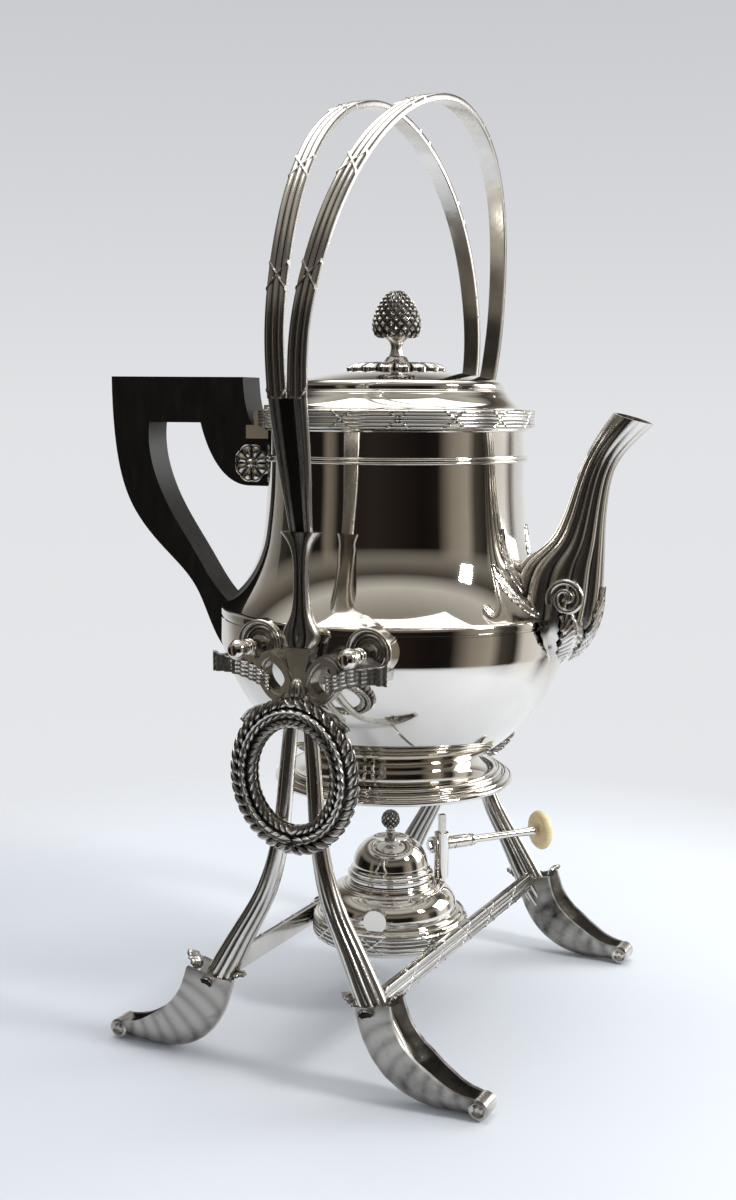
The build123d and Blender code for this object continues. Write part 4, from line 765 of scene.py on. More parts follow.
class KETTLE_OT_spout(bpy.types.Operator):
    """Make the fluted spout, its scrolls and the leaves at its root"""

    bl_idname = "kettle.spout"
    bl_label = "Spout"

    def execute(self, context):
        flutes = context.scene.kettle_sizes.spout_flutes
        rows = fair(SPOUT_STATIONS, 90)
        phi = np.linspace(0, 2 * np.pi, 144, endpoint=False)[None, :]
        z, rear, front, half = (rows[:, i : i + 1] for i in range(4))
        tilt = -0.304 * np.clip((z - 245) / 34, 0, 1) ** 1.4
        fade = np.clip((z - 176) / 14, 0, 1) * np.clip((283 - z) / 20, 0, 1)
        groove = np.abs(np.sin(flutes * phi / 2))
        factor = 1 - 0.085 * fade * (1 - groove) - 0.02 * fade
        mid, reach = (rear + front) / 2, (front - rear) / 2
        lip = np.clip((z - 262) / 17, 0, 1)
        pinch = 1 - 0.3 * lip * np.clip(np.cos(phi), 0, 1) ** 2

        def skin(inset):
            x = mid + (reach - inset) * factor * np.cos(phi)
            y = (half - inset) * factor * pinch * np.sin(phi)
            return np.stack([x, y, z + tilt * (x - mid)], -1)

        outer = skin(0)
        hollow = np.clip((1 - groove) ** 2 * fade * 1.1, 0, 1)
        inner = skin(1.3)[::-1][:40]
        ring = np.concatenate([outer, inner])
        dark = np.concatenate([hollow, np.full(inner.shape[:2], 0.6)])
        faces = grid(len(ring), 144, wrap_columns=True)
        faces += [tuple(range(144)), tuple(range((len(ring) - 1) * 144, len(ring) * 144))]
        piece(
            "fluted_spout", (ring.reshape(-1, 3), faces, dark.ravel()), "kettle", finish("cast"), ["spout"]
        )

        shapes = []
        for side in (1, -1):
            turns = np.linspace(0, 1, 90)
            angle = math.radians(200) - turns * math.radians(640)
            radius = 7.4 * (1 - turns) ** 0.8 + 0.9
            centre = np.array([90.5, side * 14.6, 201.5])
            line = centre + np.stack(
                [radius * np.cos(angle), side * (1.4 * turns - 0.6), radius * np.sin(angle)], -1
            )
            way = headings(line)
            out = np.tile([0.0, side, 0.0], (len(line), 1))
            across = unit(np.cross(way, out))
            thick = (1.7 * (1 - 0.55 * turns))[:, None]
            ringed = np.linspace(0, 2 * np.pi, 12, endpoint=False)
            section = np.stack([thick * np.cos(ringed), thick * np.sin(ringed)], -1)
            shapes.append(swept(line, across, out, section, np.repeat(0.15, 90 * 12)))
        piece("spout_scrolls", joined(shapes), "kettle", finish("cast"))

        shapes = []
        count = 34
        for side in (1, -1):
            # Leaf below the scroll, wrapped round the root of the spout
            spine = fair([(91.5, side * 14.0, 196.0), (93.5, side * 11.0, 187.5), (90.0, side * 7.2, 178.0),
                          (84.0, side * 3.2, 172.0)], count)
            out = unit(spine - np.array([78.0, 0, 188.0]))
            across = unit(np.cross(headings(spine), out))
            out = unit(np.cross(across, headings(spine)))
            width = 7.6 * np.sin(np.pi * np.linspace(0.14, 0.97, count)) ** 0.7
            shapes.append(leaf(spine, across, out, width, lobes=5, cup=1.0, vein=0.7, thick=1.2))
        # Middle rib of that leaf, down the front of the root
        spine = fair([(102.9, 0, 206.0), (101.8, 0, 194.0), (97.6, 0, 183.0), (90.6, 0, 174.6), (84.5, 0,
            171.9)], count)
        out = unit(spine - np.array([76.0, 0, 196.0]))
        across = np.tile([0.0, 1.0, 0.0], (count, 1))
        width = 6.4 * np.sin(np.pi * np.linspace(0.1, 0.93, count)) ** 0.8
        shapes.append(leaf(spine, across, out, width, lobes=4, cup=1.4, vein=0.6, thick=1.0))
        piece("spout_root_leaves", joined(shapes), "kettle", finish("cast"), sharp=60)

        shapes = []
        for side in (1, -1):
            for root_angle, tip_angle, root_z, tip_z, broad in (
                (11.0, 23.0, 193.5, 216.0, 5.4),
                (9.5, 14.0, 203.0, 231.0, 4.6),
            ):
                angle = np.radians(fair([(root_angle, 0), ((root_angle + tip_angle) / 2 + 1.5, 1),
                    (tip_angle, 2)], count)[:, 0])
                height = np.linspace(root_z, tip_z, count)
                radius = kettle_radius(height) + 0.35
                spine = np.stack([KETTLE_X + radius * np.cos(angle), -side * radius * np.sin(angle),
                    height], -1)
                slope = np.gradient(radius, height)
                out = unit(np.stack([np.cos(angle), -side * np.sin(angle), -slope], -1))
                across = unit(np.cross(headings(spine), out))
                width = broad * np.sin(np.pi * np.linspace(0.2, 0.98, count)) ** 0.75
                shapes.append(leaf(spine, across, out, width, lobes=5, cup=0.5, vein=0.5, thick=0.6))
        piece("neck_leaves", joined(shapes), "kettle", finish("cast"), sharp=60)
        return {"FINISHED"}


# Handle


def rosette(radius, thick, petals):
    """A flower of rounded petals about a bead, facing +Z."""
    def relief(theta, r, z):
        t = np.clip((r - 0.28 * radius) / (0.68 * radius), 0, 1)
        petal = np.abs(np.sin(petals * theta / 2)) ** 0.8
        swell = np.sin(np.pi * np.clip(t, 0, 1)) * (t > 0) * (t < 1)
        edge = np.where(t > 0.5, 1 - 0.1 * (1 - petal), 1)
        dark = np.clip((1 - petal) * 1.2, 0, 1) * (t > 0) * (t < 1)
        return r * edge, np.where(z > 0.3, z - 1.5 * swell * (1 - petal), z), dark

    top = [(0, 1.9), (0.13, 1.85), (0.22, 1.35), (0.26, 0.75), (0.3, 0.8)]
    top += [(u, 0.75 + 0.45 * math.sin(math.pi * (u - 0.3) / 0.6)) for u in np.linspace(0.33, 0.88, 12)]
    top += [(0.9, 0.62), (0.93, 0.9), (0.97, 0.95), (1.0, 0.7), (1.0, 0.0)]
    return turned([(u * radius, v * thick) for u, v in top] + [(0, 0)], 160, relief)


class KETTLE_OT_handle(bpy.types.Operator):
    """Make the black handle and its rosettes"""

    bl_idname = "kettle.handle"
    bl_label = "Handle"

    def execute(self, context):
        wood = softened("handle", "kettle", finish("ebony"), sharp=30)
        edge = wood.modifiers.new("Eased edges", "BEVEL")
        edge.width = 0.0011
        edge.segments = 3
        edge.limit_method = "ANGLE"
        edge.angle_limit = math.radians(45)
        edge.harden_normals = True
        flower = rosette(9.5, 2.4, 8)
        shapes = [set_on(flower, (-70.8, side * 7.7, 256.9), (0, side, 0)) for side in (1, -1)]
        piece("handle_flowers", joined(shapes), "kettle", finish("cast"), ["handle_rosettes"], sharp=50)
        softened("handle_studs", "kettle", finish("sheet"))
        return {"FINISHED"}


# Trunnions


class KETTLE_OT_trunnions(bpy.types.Operator):
    """Make the ringed bosses and the ball-ended pins that the kettle tilts on"""

    bl_idname = "kettle.trunnions"
    bl_label = "Trunnions"

    def execute(self, context):
        boss = [(2.6, 0), (10.2, 0), (10.6, 6), (10.6, 17.6), *arc((10.6, 17.6), (10.0, 18.9), (8.8,
            18.6), 6)]
        boss += [(8.3, 17.6), *arc((8.0, 17.2), (7.2, 17.9), (6.6, 17.0), 6), (6.4, 16.5)]
        boss += [*arc((6.2, 16.4), (5.6, 17.3), (5.1, 16.8), 5), (4.6, 17.2), (3.9, 18.7), (2.6, 18.7)]
        dark = [0.0] * len(boss)
        for i, (r, z) in enumerate(boss):
            if z < 17.5 and 2.6 < r < 8.5:
                dark[i] = 0.5

        def shade(theta, r, z):
            return r, z, np.repeat(np.array(dark)[None, :], r.shape[0], axis=0)

        pin = [(0, 0), (2.6, 0), (2.6, 13.6)]
        for middle in (14.6, 17.0):
            pin += [(2.6 + 0.8 * math.sin(a), middle - 0.9 * math.cos(a)) for a in np.linspace(0, math.pi, 7)]
        pin += [(2.6, 18.2), (2.6, 19.9)]
        ball = 24.2
        start = math.asin(2.3 / 4.4)
        pin += [(4.4 * math.sin(a), ball - 4.4 * math.cos(a)) for a in np.linspace(start, 0.46 * math.pi, 8)]
        pin += [(4.05, ball + 0.3), (4.25, ball + 0.9)]
        pin += [(4.4 * math.sin(a), ball - 4.4 * math.cos(a)) for a in np.linspace(0.6 * math.pi,
            0.82 * math.pi, 6)]
        pin += [(2.0, ball + 3.6), (1.9, ball + 4.2), (1.0, ball + 4.38), (0, ball + 4.4)]
        bosses, pins = [], []
        for along in (-1, 1):
            for side in (-1, 1):
                x = KETTLE_X + along * 26.1
                bosses.append(set_on(turned(boss, 64, shade, wrap=True), (x, side * 62.0, 182.6), (0,
                    side, 0)))
                pins.append(set_on(turned(pin, 48), (x, side * 74.0, 182.6), (0, side, 0)))
        piece("ringed_bosses", joined(bosses), "kettle", finish("cast"), ["trunnion_bosses"])
        piece("ball_pins", joined(pins), "kettle", finish("sheet"), ["trunnion_pins"])
        return {"FINISHED"}


# Side frames


def column_shape(stations, grooves, depth):
    """A post of rounded oblong sections (height, half width, middle y, half thickness), fluted outside."""
    rows = fair(stations, 60)
    a = np.linspace(0, 2 * np.pi, 72, endpoint=False)[None, :]
    c, s = np.cos(a), np.sin(a)
    x = np.sign(c) * np.abs(c) ** 0.45
    y = np.sign(s) * np.abs(s) ** 0.6
    cut = np.abs(np.sin(grooves * np.pi * (x + 1) / 2)) ** 0.7
    outside = np.clip(y, 0, 1) ** 0.5
    low = depth * (1 - cut) * outside
    sections = np.stack([rows[:, 1:2] * x, rows[:, 3:4] * (y - low)], -1)
    centres = np.stack([np.zeros(60), rows[:, 2], rows[:, 0]], -1)
    across = np.tile([1.0, 0.0, 0.0], (60, 1))
    out = np.tile([0.0, 1.0, 0.0], (60, 1))
    return swept(centres, across, out, sections, np.repeat((1 - cut) * outside, 60, axis=0))


def ribbon(line, flat, half_width, thick=0.9, pleats=0, swing=0.0):
    """A band of metal ribbon along a line, its width along a flat direction."""
    line = np.asarray(line, float)
    count = len(line)
    way = headings(line)
    flat = np.tile(np.asarray(flat, float), (count, 1)) if np.ndim(flat) == 1 else flat
    out = unit(np.cross(way, flat))
    wave = swing * np.sin(np.linspace(0, 2 * np.pi * pleats, count)) if pleats else np.zeros(count)
    line = line + out * wave[:, None]
    a = np.linspace(-1, 1, 9)
    rib = 0.18 * np.cos(4 * np.pi * a)
    half = np.broadcast_to(np.asarray(half_width, float), (count,))[:, None]
    top = np.stack([a[None, :] * half, np.broadcast_to(thick / 2 + rib, (count, 9))], -1)
    low = np.stack([a[None, ::-1] * half, np.broadcast_to(-thick / 2 - rib[::-1], (count, 9))], -1)
    sections = np.concatenate([top, low], axis=1)
    dark = np.tile(np.r_[0.25 - rib, 0.25 - rib] * 0.9, (count, 1))
    return swept(line, flat, out, sections, dark)


class KETTLE_OT_frames(bpy.types.Operator):
    """Make the columns, the bows with their knots, and the arch's roots"""

    bl_idname = "kettle.frames"
    bl_label = "Side frames"

    def execute(self, context):
        post = column_shape(
            [(184.2, 6.6, 87.6, 3.3), (188.6, 8.6, 87.6, 3.3), (196.0, 5.6, 87.6, 2.6), (207.0, 3.5, 87.6,
                2.1),
             (219.0, 3.5, 87.6, 2.1), (227.4, 5.8, 87.6, 2.7), (232.2, 10.0, 87.6, 3.3)], 3, 0.5)
        root = column_shape(
            [(232.4, 5.4, 87.6, 1.7), (240, 5.9, 89.2, 1.7), (250, 6.9, 91.3, 1.7), (262.0, 7.8, 93.6, 1.7),
             (275, 8.5, 96.4, 1.7), (287.0, 8.9, 98.8, 1.7)], 6, 0.45)
        for name, _ in SIDES:
            softened(f"bow_{name}", "stand", finish("worn"))
        for name, side in SIDES:
            piece(f"fluted_column_{name}", flipped(post, 1, side), "stand", finish("worn"),
                [f"column_{name}"])
            piece(f"reeded_root_{name}", flipped(root, 1, side), "stand", finish("worn"),
                [f"arch_root_{name}"])
            shapes = []
            flat = (0.0, 1.0, 0.0)
            for along in (1, -1):
                loop = fair([(3.0, 168.0), (6.4, 175.6), (12.6, 180.0), (17.6, 176.6), (17.4, 169.4),
                    (12.4, 163.6),
                             (7.2, 162.6), (3.4, 165.4)], 60)
                line = np.stack([along * loop[:, 0], np.full(60, 87.8), loop[:, 1]], -1)
                shapes.append(ribbon(line, flat, 4.1, 1.5))
                # Pleated tail in front of the cradle, its width upright
                t = np.linspace(0, 1, 120)
                tail = fair([(13.6, 91.2, 168.6), (22.0, 91.6, 172.4), (31.0, 91.6, 174.6), (41.2, 91.2,
                    175.6)], 120)
                tail[:, 0] *= along
                tail[:, 1] += 0.75 * np.sin(2 * np.pi * 7 * t)
                upright = np.tile([0.0, 0.0, 1.0], (120, 1))
                width = np.interp(t, [0, 0.3, 0.75, 0.9, 1], [3.2, 3.4, 3.5, 4.0, 4.4])
                shapes.append(ribbon(tail, upright, width, 0.7))
                # Short end that curls below the loop over the wreath's top
                end = fair([(along * 3.5, 91.4, 163.5), (along * 9.5, 93.5, 158.5), (along * 17.0, 94.6,
                    156.0),
                            (along * 23.5, 94.0, 150.0)], 60)
                end[:, 1] += 0.5 * np.sin(np.linspace(0, 8 * np.pi, 60))
                side_way = unit(np.cross(headings(end), np.array([0.0, 1.0, 0.0])))
                shapes.append(ribbon(end, side_way, np.linspace(2.2, 3.4, 60), 0.8))
            knot = turned(
                [(0, -5.4)] + [(3.9 * math.sin(a), -5.4 * math.cos(a)) for a in np.linspace(0.25, 2.9,
                    18)] + [(0, 5.4)],
                72,
                lambda theta, r, z: (
                    r * (1 - 0.12 * (1 - np.abs(np.sin(4 * theta)))), z,
                        0.8 * (1 - np.abs(np.sin(4 * theta))) ** 2
                ),
            )
            shapes.append(set_on(knot, (0, 90.6, 166.0)))
            piece(f"bow_ribbons_{name}", flipped(joined(shapes), 1, side), "stand", finish("worn"), sharp=45)
        return {"FINISHED"}


# Wreaths


def laurel_leaf():
    """One pointed leaf, cupped along its middle, lying along +Y and facing +Z."""
    t = np.linspace(0, 1, 8)
    spine = np.stack([np.zeros(8), t, 0.16 * np.sin(np.pi * t)], -1)
    side = np.tile([1.0, 0.0, 0.0], (8, 1))
    up = np.tile([0.0, 0.0, 1.0], (8, 1))
    width = 0.25 * np.sin(np.pi * np.clip(t * 0.97 + 0.015, 0, 1)) ** 0.85 + 0.01
    a = np.array([-1, -0.55, -0.12, 0.12, 0.55, 1])
    lift = np.array([-0.05, 0.05, 0.0, 0.0, 0.05, -0.05])
    top = spine[:, None] + side[:, None] * (a * width[:, None])[..., None] + up[:, None] * lift[None, :, None]
    low = spine[:, None] + side[:, None] * (a[::5] * width[:, None])[..., None] - up[:, None] * 0.12
    ring = np.concatenate([top, low[:, ::-1]], axis=1)
    dark = np.tile([0.9, 0.0, 0.75, 0.75, 0.0, 0.9, 1.0, 1.0], (8, 1))
    faces = grid(8, 8, wrap_columns=True) + [tuple(range(8)), tuple(range(56, 64))]
    return ring.reshape(-1, 3), faces, dark.ravel()


class KETTLE_OT_wreaths(bpy.types.Operator):
    """Make the laurel wreaths that hang between the legs"""

    bl_idname = "kettle.wreaths"
    bl_label = "Laurel wreaths"

    def execute(self, context):
        count = context.scene.kettle_sizes.wreath_leaves
        for name, side in SIDES:
            angle = np.linspace(0, 2 * np.pi, 121)[:-1]
            line = np.stack([23.8 * np.sin(angle), np.full(120, 94.2), 130.2 - 27.0 * np.cos(angle)], -1)
            way = headings(np.concatenate([line, line[:1]]))[:-1]
            out = np.tile([0.0, 1.0, 0.0], (120, 1))
            across = unit(np.cross(way, out))
            a = np.linspace(0, 2 * np.pi, 16, endpoint=False)
            section = np.tile(np.stack([4.0 * np.cos(a), 2.3 * np.sin(a)], -1), (120, 1, 1))
            points = line[:, None] + section[..., :1] * across[:, None] + section[..., 1:] * out[:, None]
            core = (points.reshape(-1, 3), grid(120, 16, True, True), np.full(120 * 16, 0.9))
            piece(f"wreath_core_{name}", flipped(core, 1, side), "stand", finish("worn"), [f"wreath_{name}"])
            marks = []
            for half in (1, -1):
                for i in range(count // 2 + 1):
                    for lane, splay in ((-1, 0.75), (0, 0.0), (1, 0.75)):
                        for face in (1, -1):
                            turn = (i + (0.5 if lane == 0 else 0.0)) * math.pi / (count / 2)
                            if turn > math.pi:
                                continue
                            ring = np.array([half * math.sin(turn), 0, -math.cos(turn)])
                            middle = np.array([0, 94.2 * side, 130.2]) + ring * np.array([23.8, 0, 27.0])
                            go = unit(np.array([half * 23.8 * math.cos(turn), 0, 27.0 * math.sin(turn)]))
                            away = unit(np.cross(go, [0, 1, 0])) * half
                            heading = unit(go + away * lane * splay)
                            up = unit(np.array([0, face * side, 0]) * 1.0 + away * lane * 0.55 - go * 0.22)
                            spot = middle + away * lane * 2.0 + np.array([0, face * side * 1.5, 0]) - go * 2.2
                            along = np.cross(heading, up)
                            marks.append((spot, along, up, (7.6, 7.6, 7.6)))
            repeated(f"laurel_leaves_{name}", laurel_leaf(), marks, "stand", finish("cast"))
        return {"FINISHED"}


# Legs and feet


def curled_tip(root, away, across, size):
    """A small leaf that leaves a root point and curls over outwards."""
    t = np.linspace(0, 1, 22)
    up = unit(np.cross(away, across))
    bend = np.radians(100) * t
    step = size / 21
    go = np.cos(bend)[:, None] * up + np.sin(bend)[:, None] * np.asarray(away, float)
    spine = np.asarray(root, float) + np.cumsum(go, axis=0) * step
    normal = unit(np.cross(go, np.tile(across, (22, 1))))
    width = 0.46 * size * np.sin(np.pi * (0.22 + 0.74 * t)) ** 0.8
    return leaf(spine, np.tile(across, (22, 1)), normal, width, lobes=3, cup=0.7, vein=0.35, thick=0.8)


class KETTLE_OT_feet(bpy.types.Operator):
    """Make the legs, fluted towards the ground, and the scrolled leaf feet"""

    bl_idname = "kettle.feet"
    bl_label = "Legs and feet"

    def execute(self, context):
        veins = context.scene.kettle_sizes.foot_veins
        rows = fair(
            [(3.2, 87.5, 166.0, 3.0), (6.4, 88.4, 132.0, 3.4), (10.6, 89.4, 95.0, 4.0), (17.0, 90.5, 74.5,
                4.7),
             (25.6, 91.8, 58.5, 5.4), (36.2, 93.4, 38.5, 6.6), (45.0, 94.6, 24.6, 5.9), (54.5, 95.3, 13.2,
                 4.4)], 110)
        line, radius = rows[:, :3], rows[:, 3:]
        way = headings(line)
        out = unit(np.array([0.0, 1.0, 0.0]) - way * way[:, 1:2])
        across = unit(np.cross(way, out))
        a = np.linspace(0, 2 * np.pi, 64, endpoint=False)[None, :]
        fade = np.clip((92 - line[:, 2:]) / 22, 0, 1)
        groove = (0.5 - 0.5 * np.cos(10 * a)) ** 2
        reach = radius * (1 - 0.15 * fade * groove)
        sections = np.stack([reach * np.cos(a), reach * np.sin(a)], -1)
        leg = swept(line, across, out, sections, groove * fade * 0.9)

        count = 46
        low = fair([(29.2, 36.5), (32.0, 26.0), (41.4, 10.6), (52.2, 3.1), (66.0, 0.0), (75.0, 0.0),
            (83.5, 0.0),
                    (89.0, 2.6)], count)
        low[:, 1] = np.maximum(low[:, 1], 0.0)
        lip = fair([(49.0, 41.5), (51.5, 33.0), (56.0, 25.8), (63.5, 19.4), (72.0, 13.6), (79.0, 10.2),
            (86.5, 9.0)], count)
        t = np.linspace(0, 1, count)
        half = np.interp(t, [0, 0.2, 0.45, 0.8, 1.0], [7.4, 8.2, 8.5, 7.0, 5.4])
        phi = np.linspace(0, np.pi, 30)
        c, s = np.cos(phi), np.sin(phi)
        scallop = 1 + 0.04 * np.abs(np.sin(np.pi * 5 * t))[:, None] * (np.abs(c) ** 3)[None, :]
        vein = np.abs(np.sin(np.pi * (veins * t[:, None] * 0.9 + 1.1 * np.abs(c)[None, :])))
        rib = np.exp(-((c / 0.13) ** 2))[None, :]
        relief = (0.3 * vein * (1 - rib) + 0.7 * rib) * np.clip((0.93 - t) / 0.15, 0, 1)[:, None]

        def shell(inset):
            keep = 1 - inset / np.linalg.norm(low - lip, axis=1, keepdims=True)
            path = lip[:, None] + (low - lip)[:, None] * (s[None, :] * keep)[..., None]
            y = 95.4 + c[None, :] * (half - inset)[:, None] * scallop
            return np.stack([path[..., 0], y, path[..., 1]], -1)

        outer = shell(0.0)
        middle = (outer[:, :1] + outer[:, -1:]) / 2
        inward = unit(middle - outer + 1e-6)
        outer = outer + inward * (0.7 - relief)[..., None] * np.clip(s, 0.15, 1)[None, :, None]
        inner = shell(1.9)
        ring = np.concatenate([outer, inner[:, ::-1]], axis=1)
        width = ring.shape[1]
        faces = grid(count, width, wrap_columns=True)
        faces += [tuple(range(width)), tuple(range((count - 1) * width, count * width))]
        dark = np.concatenate([0.7 - 0.2 * vein * (1 - rib) - 0.6 * rib, np.full(relief.shape, 0.6)], axis=1)
        trough = (ring.reshape(-1, 3), faces, np.clip(dark, 0, 1).ravel())

        roll = [(0, -5.0), (1.2, -5.5), (2.1, -4.8), (3.1, -5.5), (4.2, -5.1), (4.3, -3.0), (4.0, 0)]
        roll += [(r, -z) for r, z in roll[-2::-1]]
        barrel = set_on(turned(roll, 40), (87.5, 95.4, 5.1), (0, 1, 0))
        tips = [
            curled_tip((47.0, 95.4, 38.5), unit((1.0, 0, 0.25)), (0.0, 1.0, 0.0), 10.5),
            curled_tip((31.0, 95.0, 36.0), unit((-1.0, 0, -0.2)), (0.0, -1.0, 0.0), 9.5),
            curled_tip((39.0, 102.0, 35.0), unit((-0.1, 1.0, -0.1)), unit((-1.0, 0, -0.35)), 7.0),
        ]
        foot = joined([trough, barrel] + tips)
        # Tips stay inside the solids' reach across the stand
        foot[0][:, 1] = np.minimum(foot[0][:, 1], 103.8)
        for end, along in ENDS:
            for name, side in SIDES:
                piece(f"fluted_leg_{end}_{name}", flipped(leg, along, side), "stand", finish("cast"),
                      [f"leg_{end}_{name}"])
                piece(f"leaf_foot_{end}_{name}", flipped(foot, along, side), "stand", finish("worn"),
                      [f"foot_{end}_{name}"], sharp=50)
        return {"FINISHED"}


# Tray: stretchers and the ring that holds the lamp


class KETTLE_OT_tray(bpy.types.Operator):
    """Make the reeded stretchers and the reeded ring between them"""

    bl_idname = "kettle.tray"
    bl_label = "Stretchers and lamp ring"

    def execute(self, context):
        depth = context.scene.kettle_sizes.reed_depth
        count = 520
        y = np.linspace(-89.6, 89.6, count)
        v = np.linspace(-1, 1, 27)
        pattern = reeds_and_ribbon(y[:, None], v[None, :], 8.4, 4, 29.9, ribbon=0.9)
        end = np.sqrt(np.clip(1 - np.clip((np.abs(y) - 85.1) / 4.6, 0, 1) ** 2, 0.02, 1))[:, None]
        face = np.stack([v[None, :] * 4.4 * end, 3.4 - 0.9 * depth * (1 - pattern)], -1)
        back = np.stack([np.array([1.0, -1.0])[None, :] * 4.4 * end, np.zeros((count, 2))], -1)
        sections = np.concatenate([face, back], axis=1)
        dark = np.concatenate([(1 - pattern) ** 1.2, np.zeros((count, 2))], axis=1)
        line = np.stack([np.full(count, 36.9), y, np.full(count, 37.9)], -1)
        up = np.tile([0.0, 0.0, 1.0], (count, 1))
        out = np.tile([1.0, 0.0, 0.0], (count, 1))
        bar = swept(line, up, out, sections, dark)
        for name, along in ENDS:
            piece(f"reeded_stretcher_{name}", flipped(bar, along), "stand", finish("cast"),
                [f"stretcher_{name}"])

        face = [(37.4, z) for z in np.linspace(34.2, 41.7, 27)]
        profile = [(34.0, 33.8), (36.6, 33.8)] + face + [(36.6, 42.1), (34.0, 42.1)]

        def relief(theta, radius, height):
            pattern = reeds_and_ribbon(theta * 37.4, (height - 37.95) / 3.8, 7.6, 4, 2 * np.pi * 37.4 / 8,
                first=8.0)
            band = radius > 37.3
            return radius - np.where(band, depth * (1 - pattern), 0), height, np.where(band,
                (1 - pattern) ** 1.2, 0)

        piece("reeded_lamp_ring", turned(profile, 720, relief, wrap=True), "stand", finish("cast"),
            ["lamp_ring"])
        return {"FINISHED"}


# Arch


class KETTLE_OT_arch(bpy.types.Operator):
    """Make the two reeded straps of the arch, tied with crossed ribbons"""

    bl_idname = "kettle.arch"
    bl_label = "Arch straps"

    def execute(self, context):
        stations = ((312.0, 102.3, 5.6), (340.0, 98.2, 7.5), (360.0, 90.7, 9.3), (380.0, 78.2, 11.6),
                    (395.0, 63.5, 13.6), (408.0, 43.3, 15.5), (415.5, 22.3, 16.7))
        top = 418.3
        rising = [(-98.8, 287.0, 4.6)] + [(-y, z, gap) for z, y, gap in stations]
        line = rising + [(0.0, top, 17.1)] + [(-y, z, gap) for y, z, gap in rising[::-1]]
        count = 900
        rows = fair(line, count)
        y, z, gap = rows.T
        z = np.minimum(z, top)
        length = np.r_[0, np.cumsum(np.hypot(np.diff(y), np.diff(z)))]
        s = np.abs(length - length[-1] / 2)
        lean = 9.9 * (z - 287.0) / (top - 287.0)
        way = headings(np.stack([np.zeros(count), y, z], -1))
        outward = np.stack([np.zeros(count), -way[:, 2], way[:, 1]], -1)
        outward *= np.sign(outward[:, 2:] * 1.0 + 1e-9 + outward[:, 1:2] * np.sign(y)[:, None])
        v = np.linspace(-1, 1, 25)
        pattern = reeds_and_ribbon(s[:, None], v[None, :], 8.5, 3, 50.5, first=39.0, ribbon=0.95)
        depth = 0.95 * context.scene.kettle_sizes.reed_depth
        face = np.stack([np.broadcast_to(v * 4.25, (count, 25)), 1.68 - depth * (1 - pattern)], -1)
        back = np.broadcast_to(np.array([[4.1, -1.2], [3.7, -1.68], [-3.7, -1.68], [-4.1, -1.2]]), (count,
            4, 2))
        sections = np.concatenate([face, back], axis=1)
        dark = np.concatenate([(1 - pattern) ** 1.2, np.zeros((count, 4))], axis=1)
        across = np.tile([1.0, 0.0, 0.0], (count, 1))
        for name, side in ENDS:
            centre = np.stack([lean + side * gap, y, z], -1)
            strap = swept(centre, across, outward, sections, dark)
            piece(f"reeded_strap_{name}", strap, "stand", finish("cast"), [f"arch_strap_{name}"])
        return {"FINISHED"}


# Lamp

RADIAL = np.array([math.cos(math.radians(52.4)), math.sin(math.radians(52.4)), 0.0])


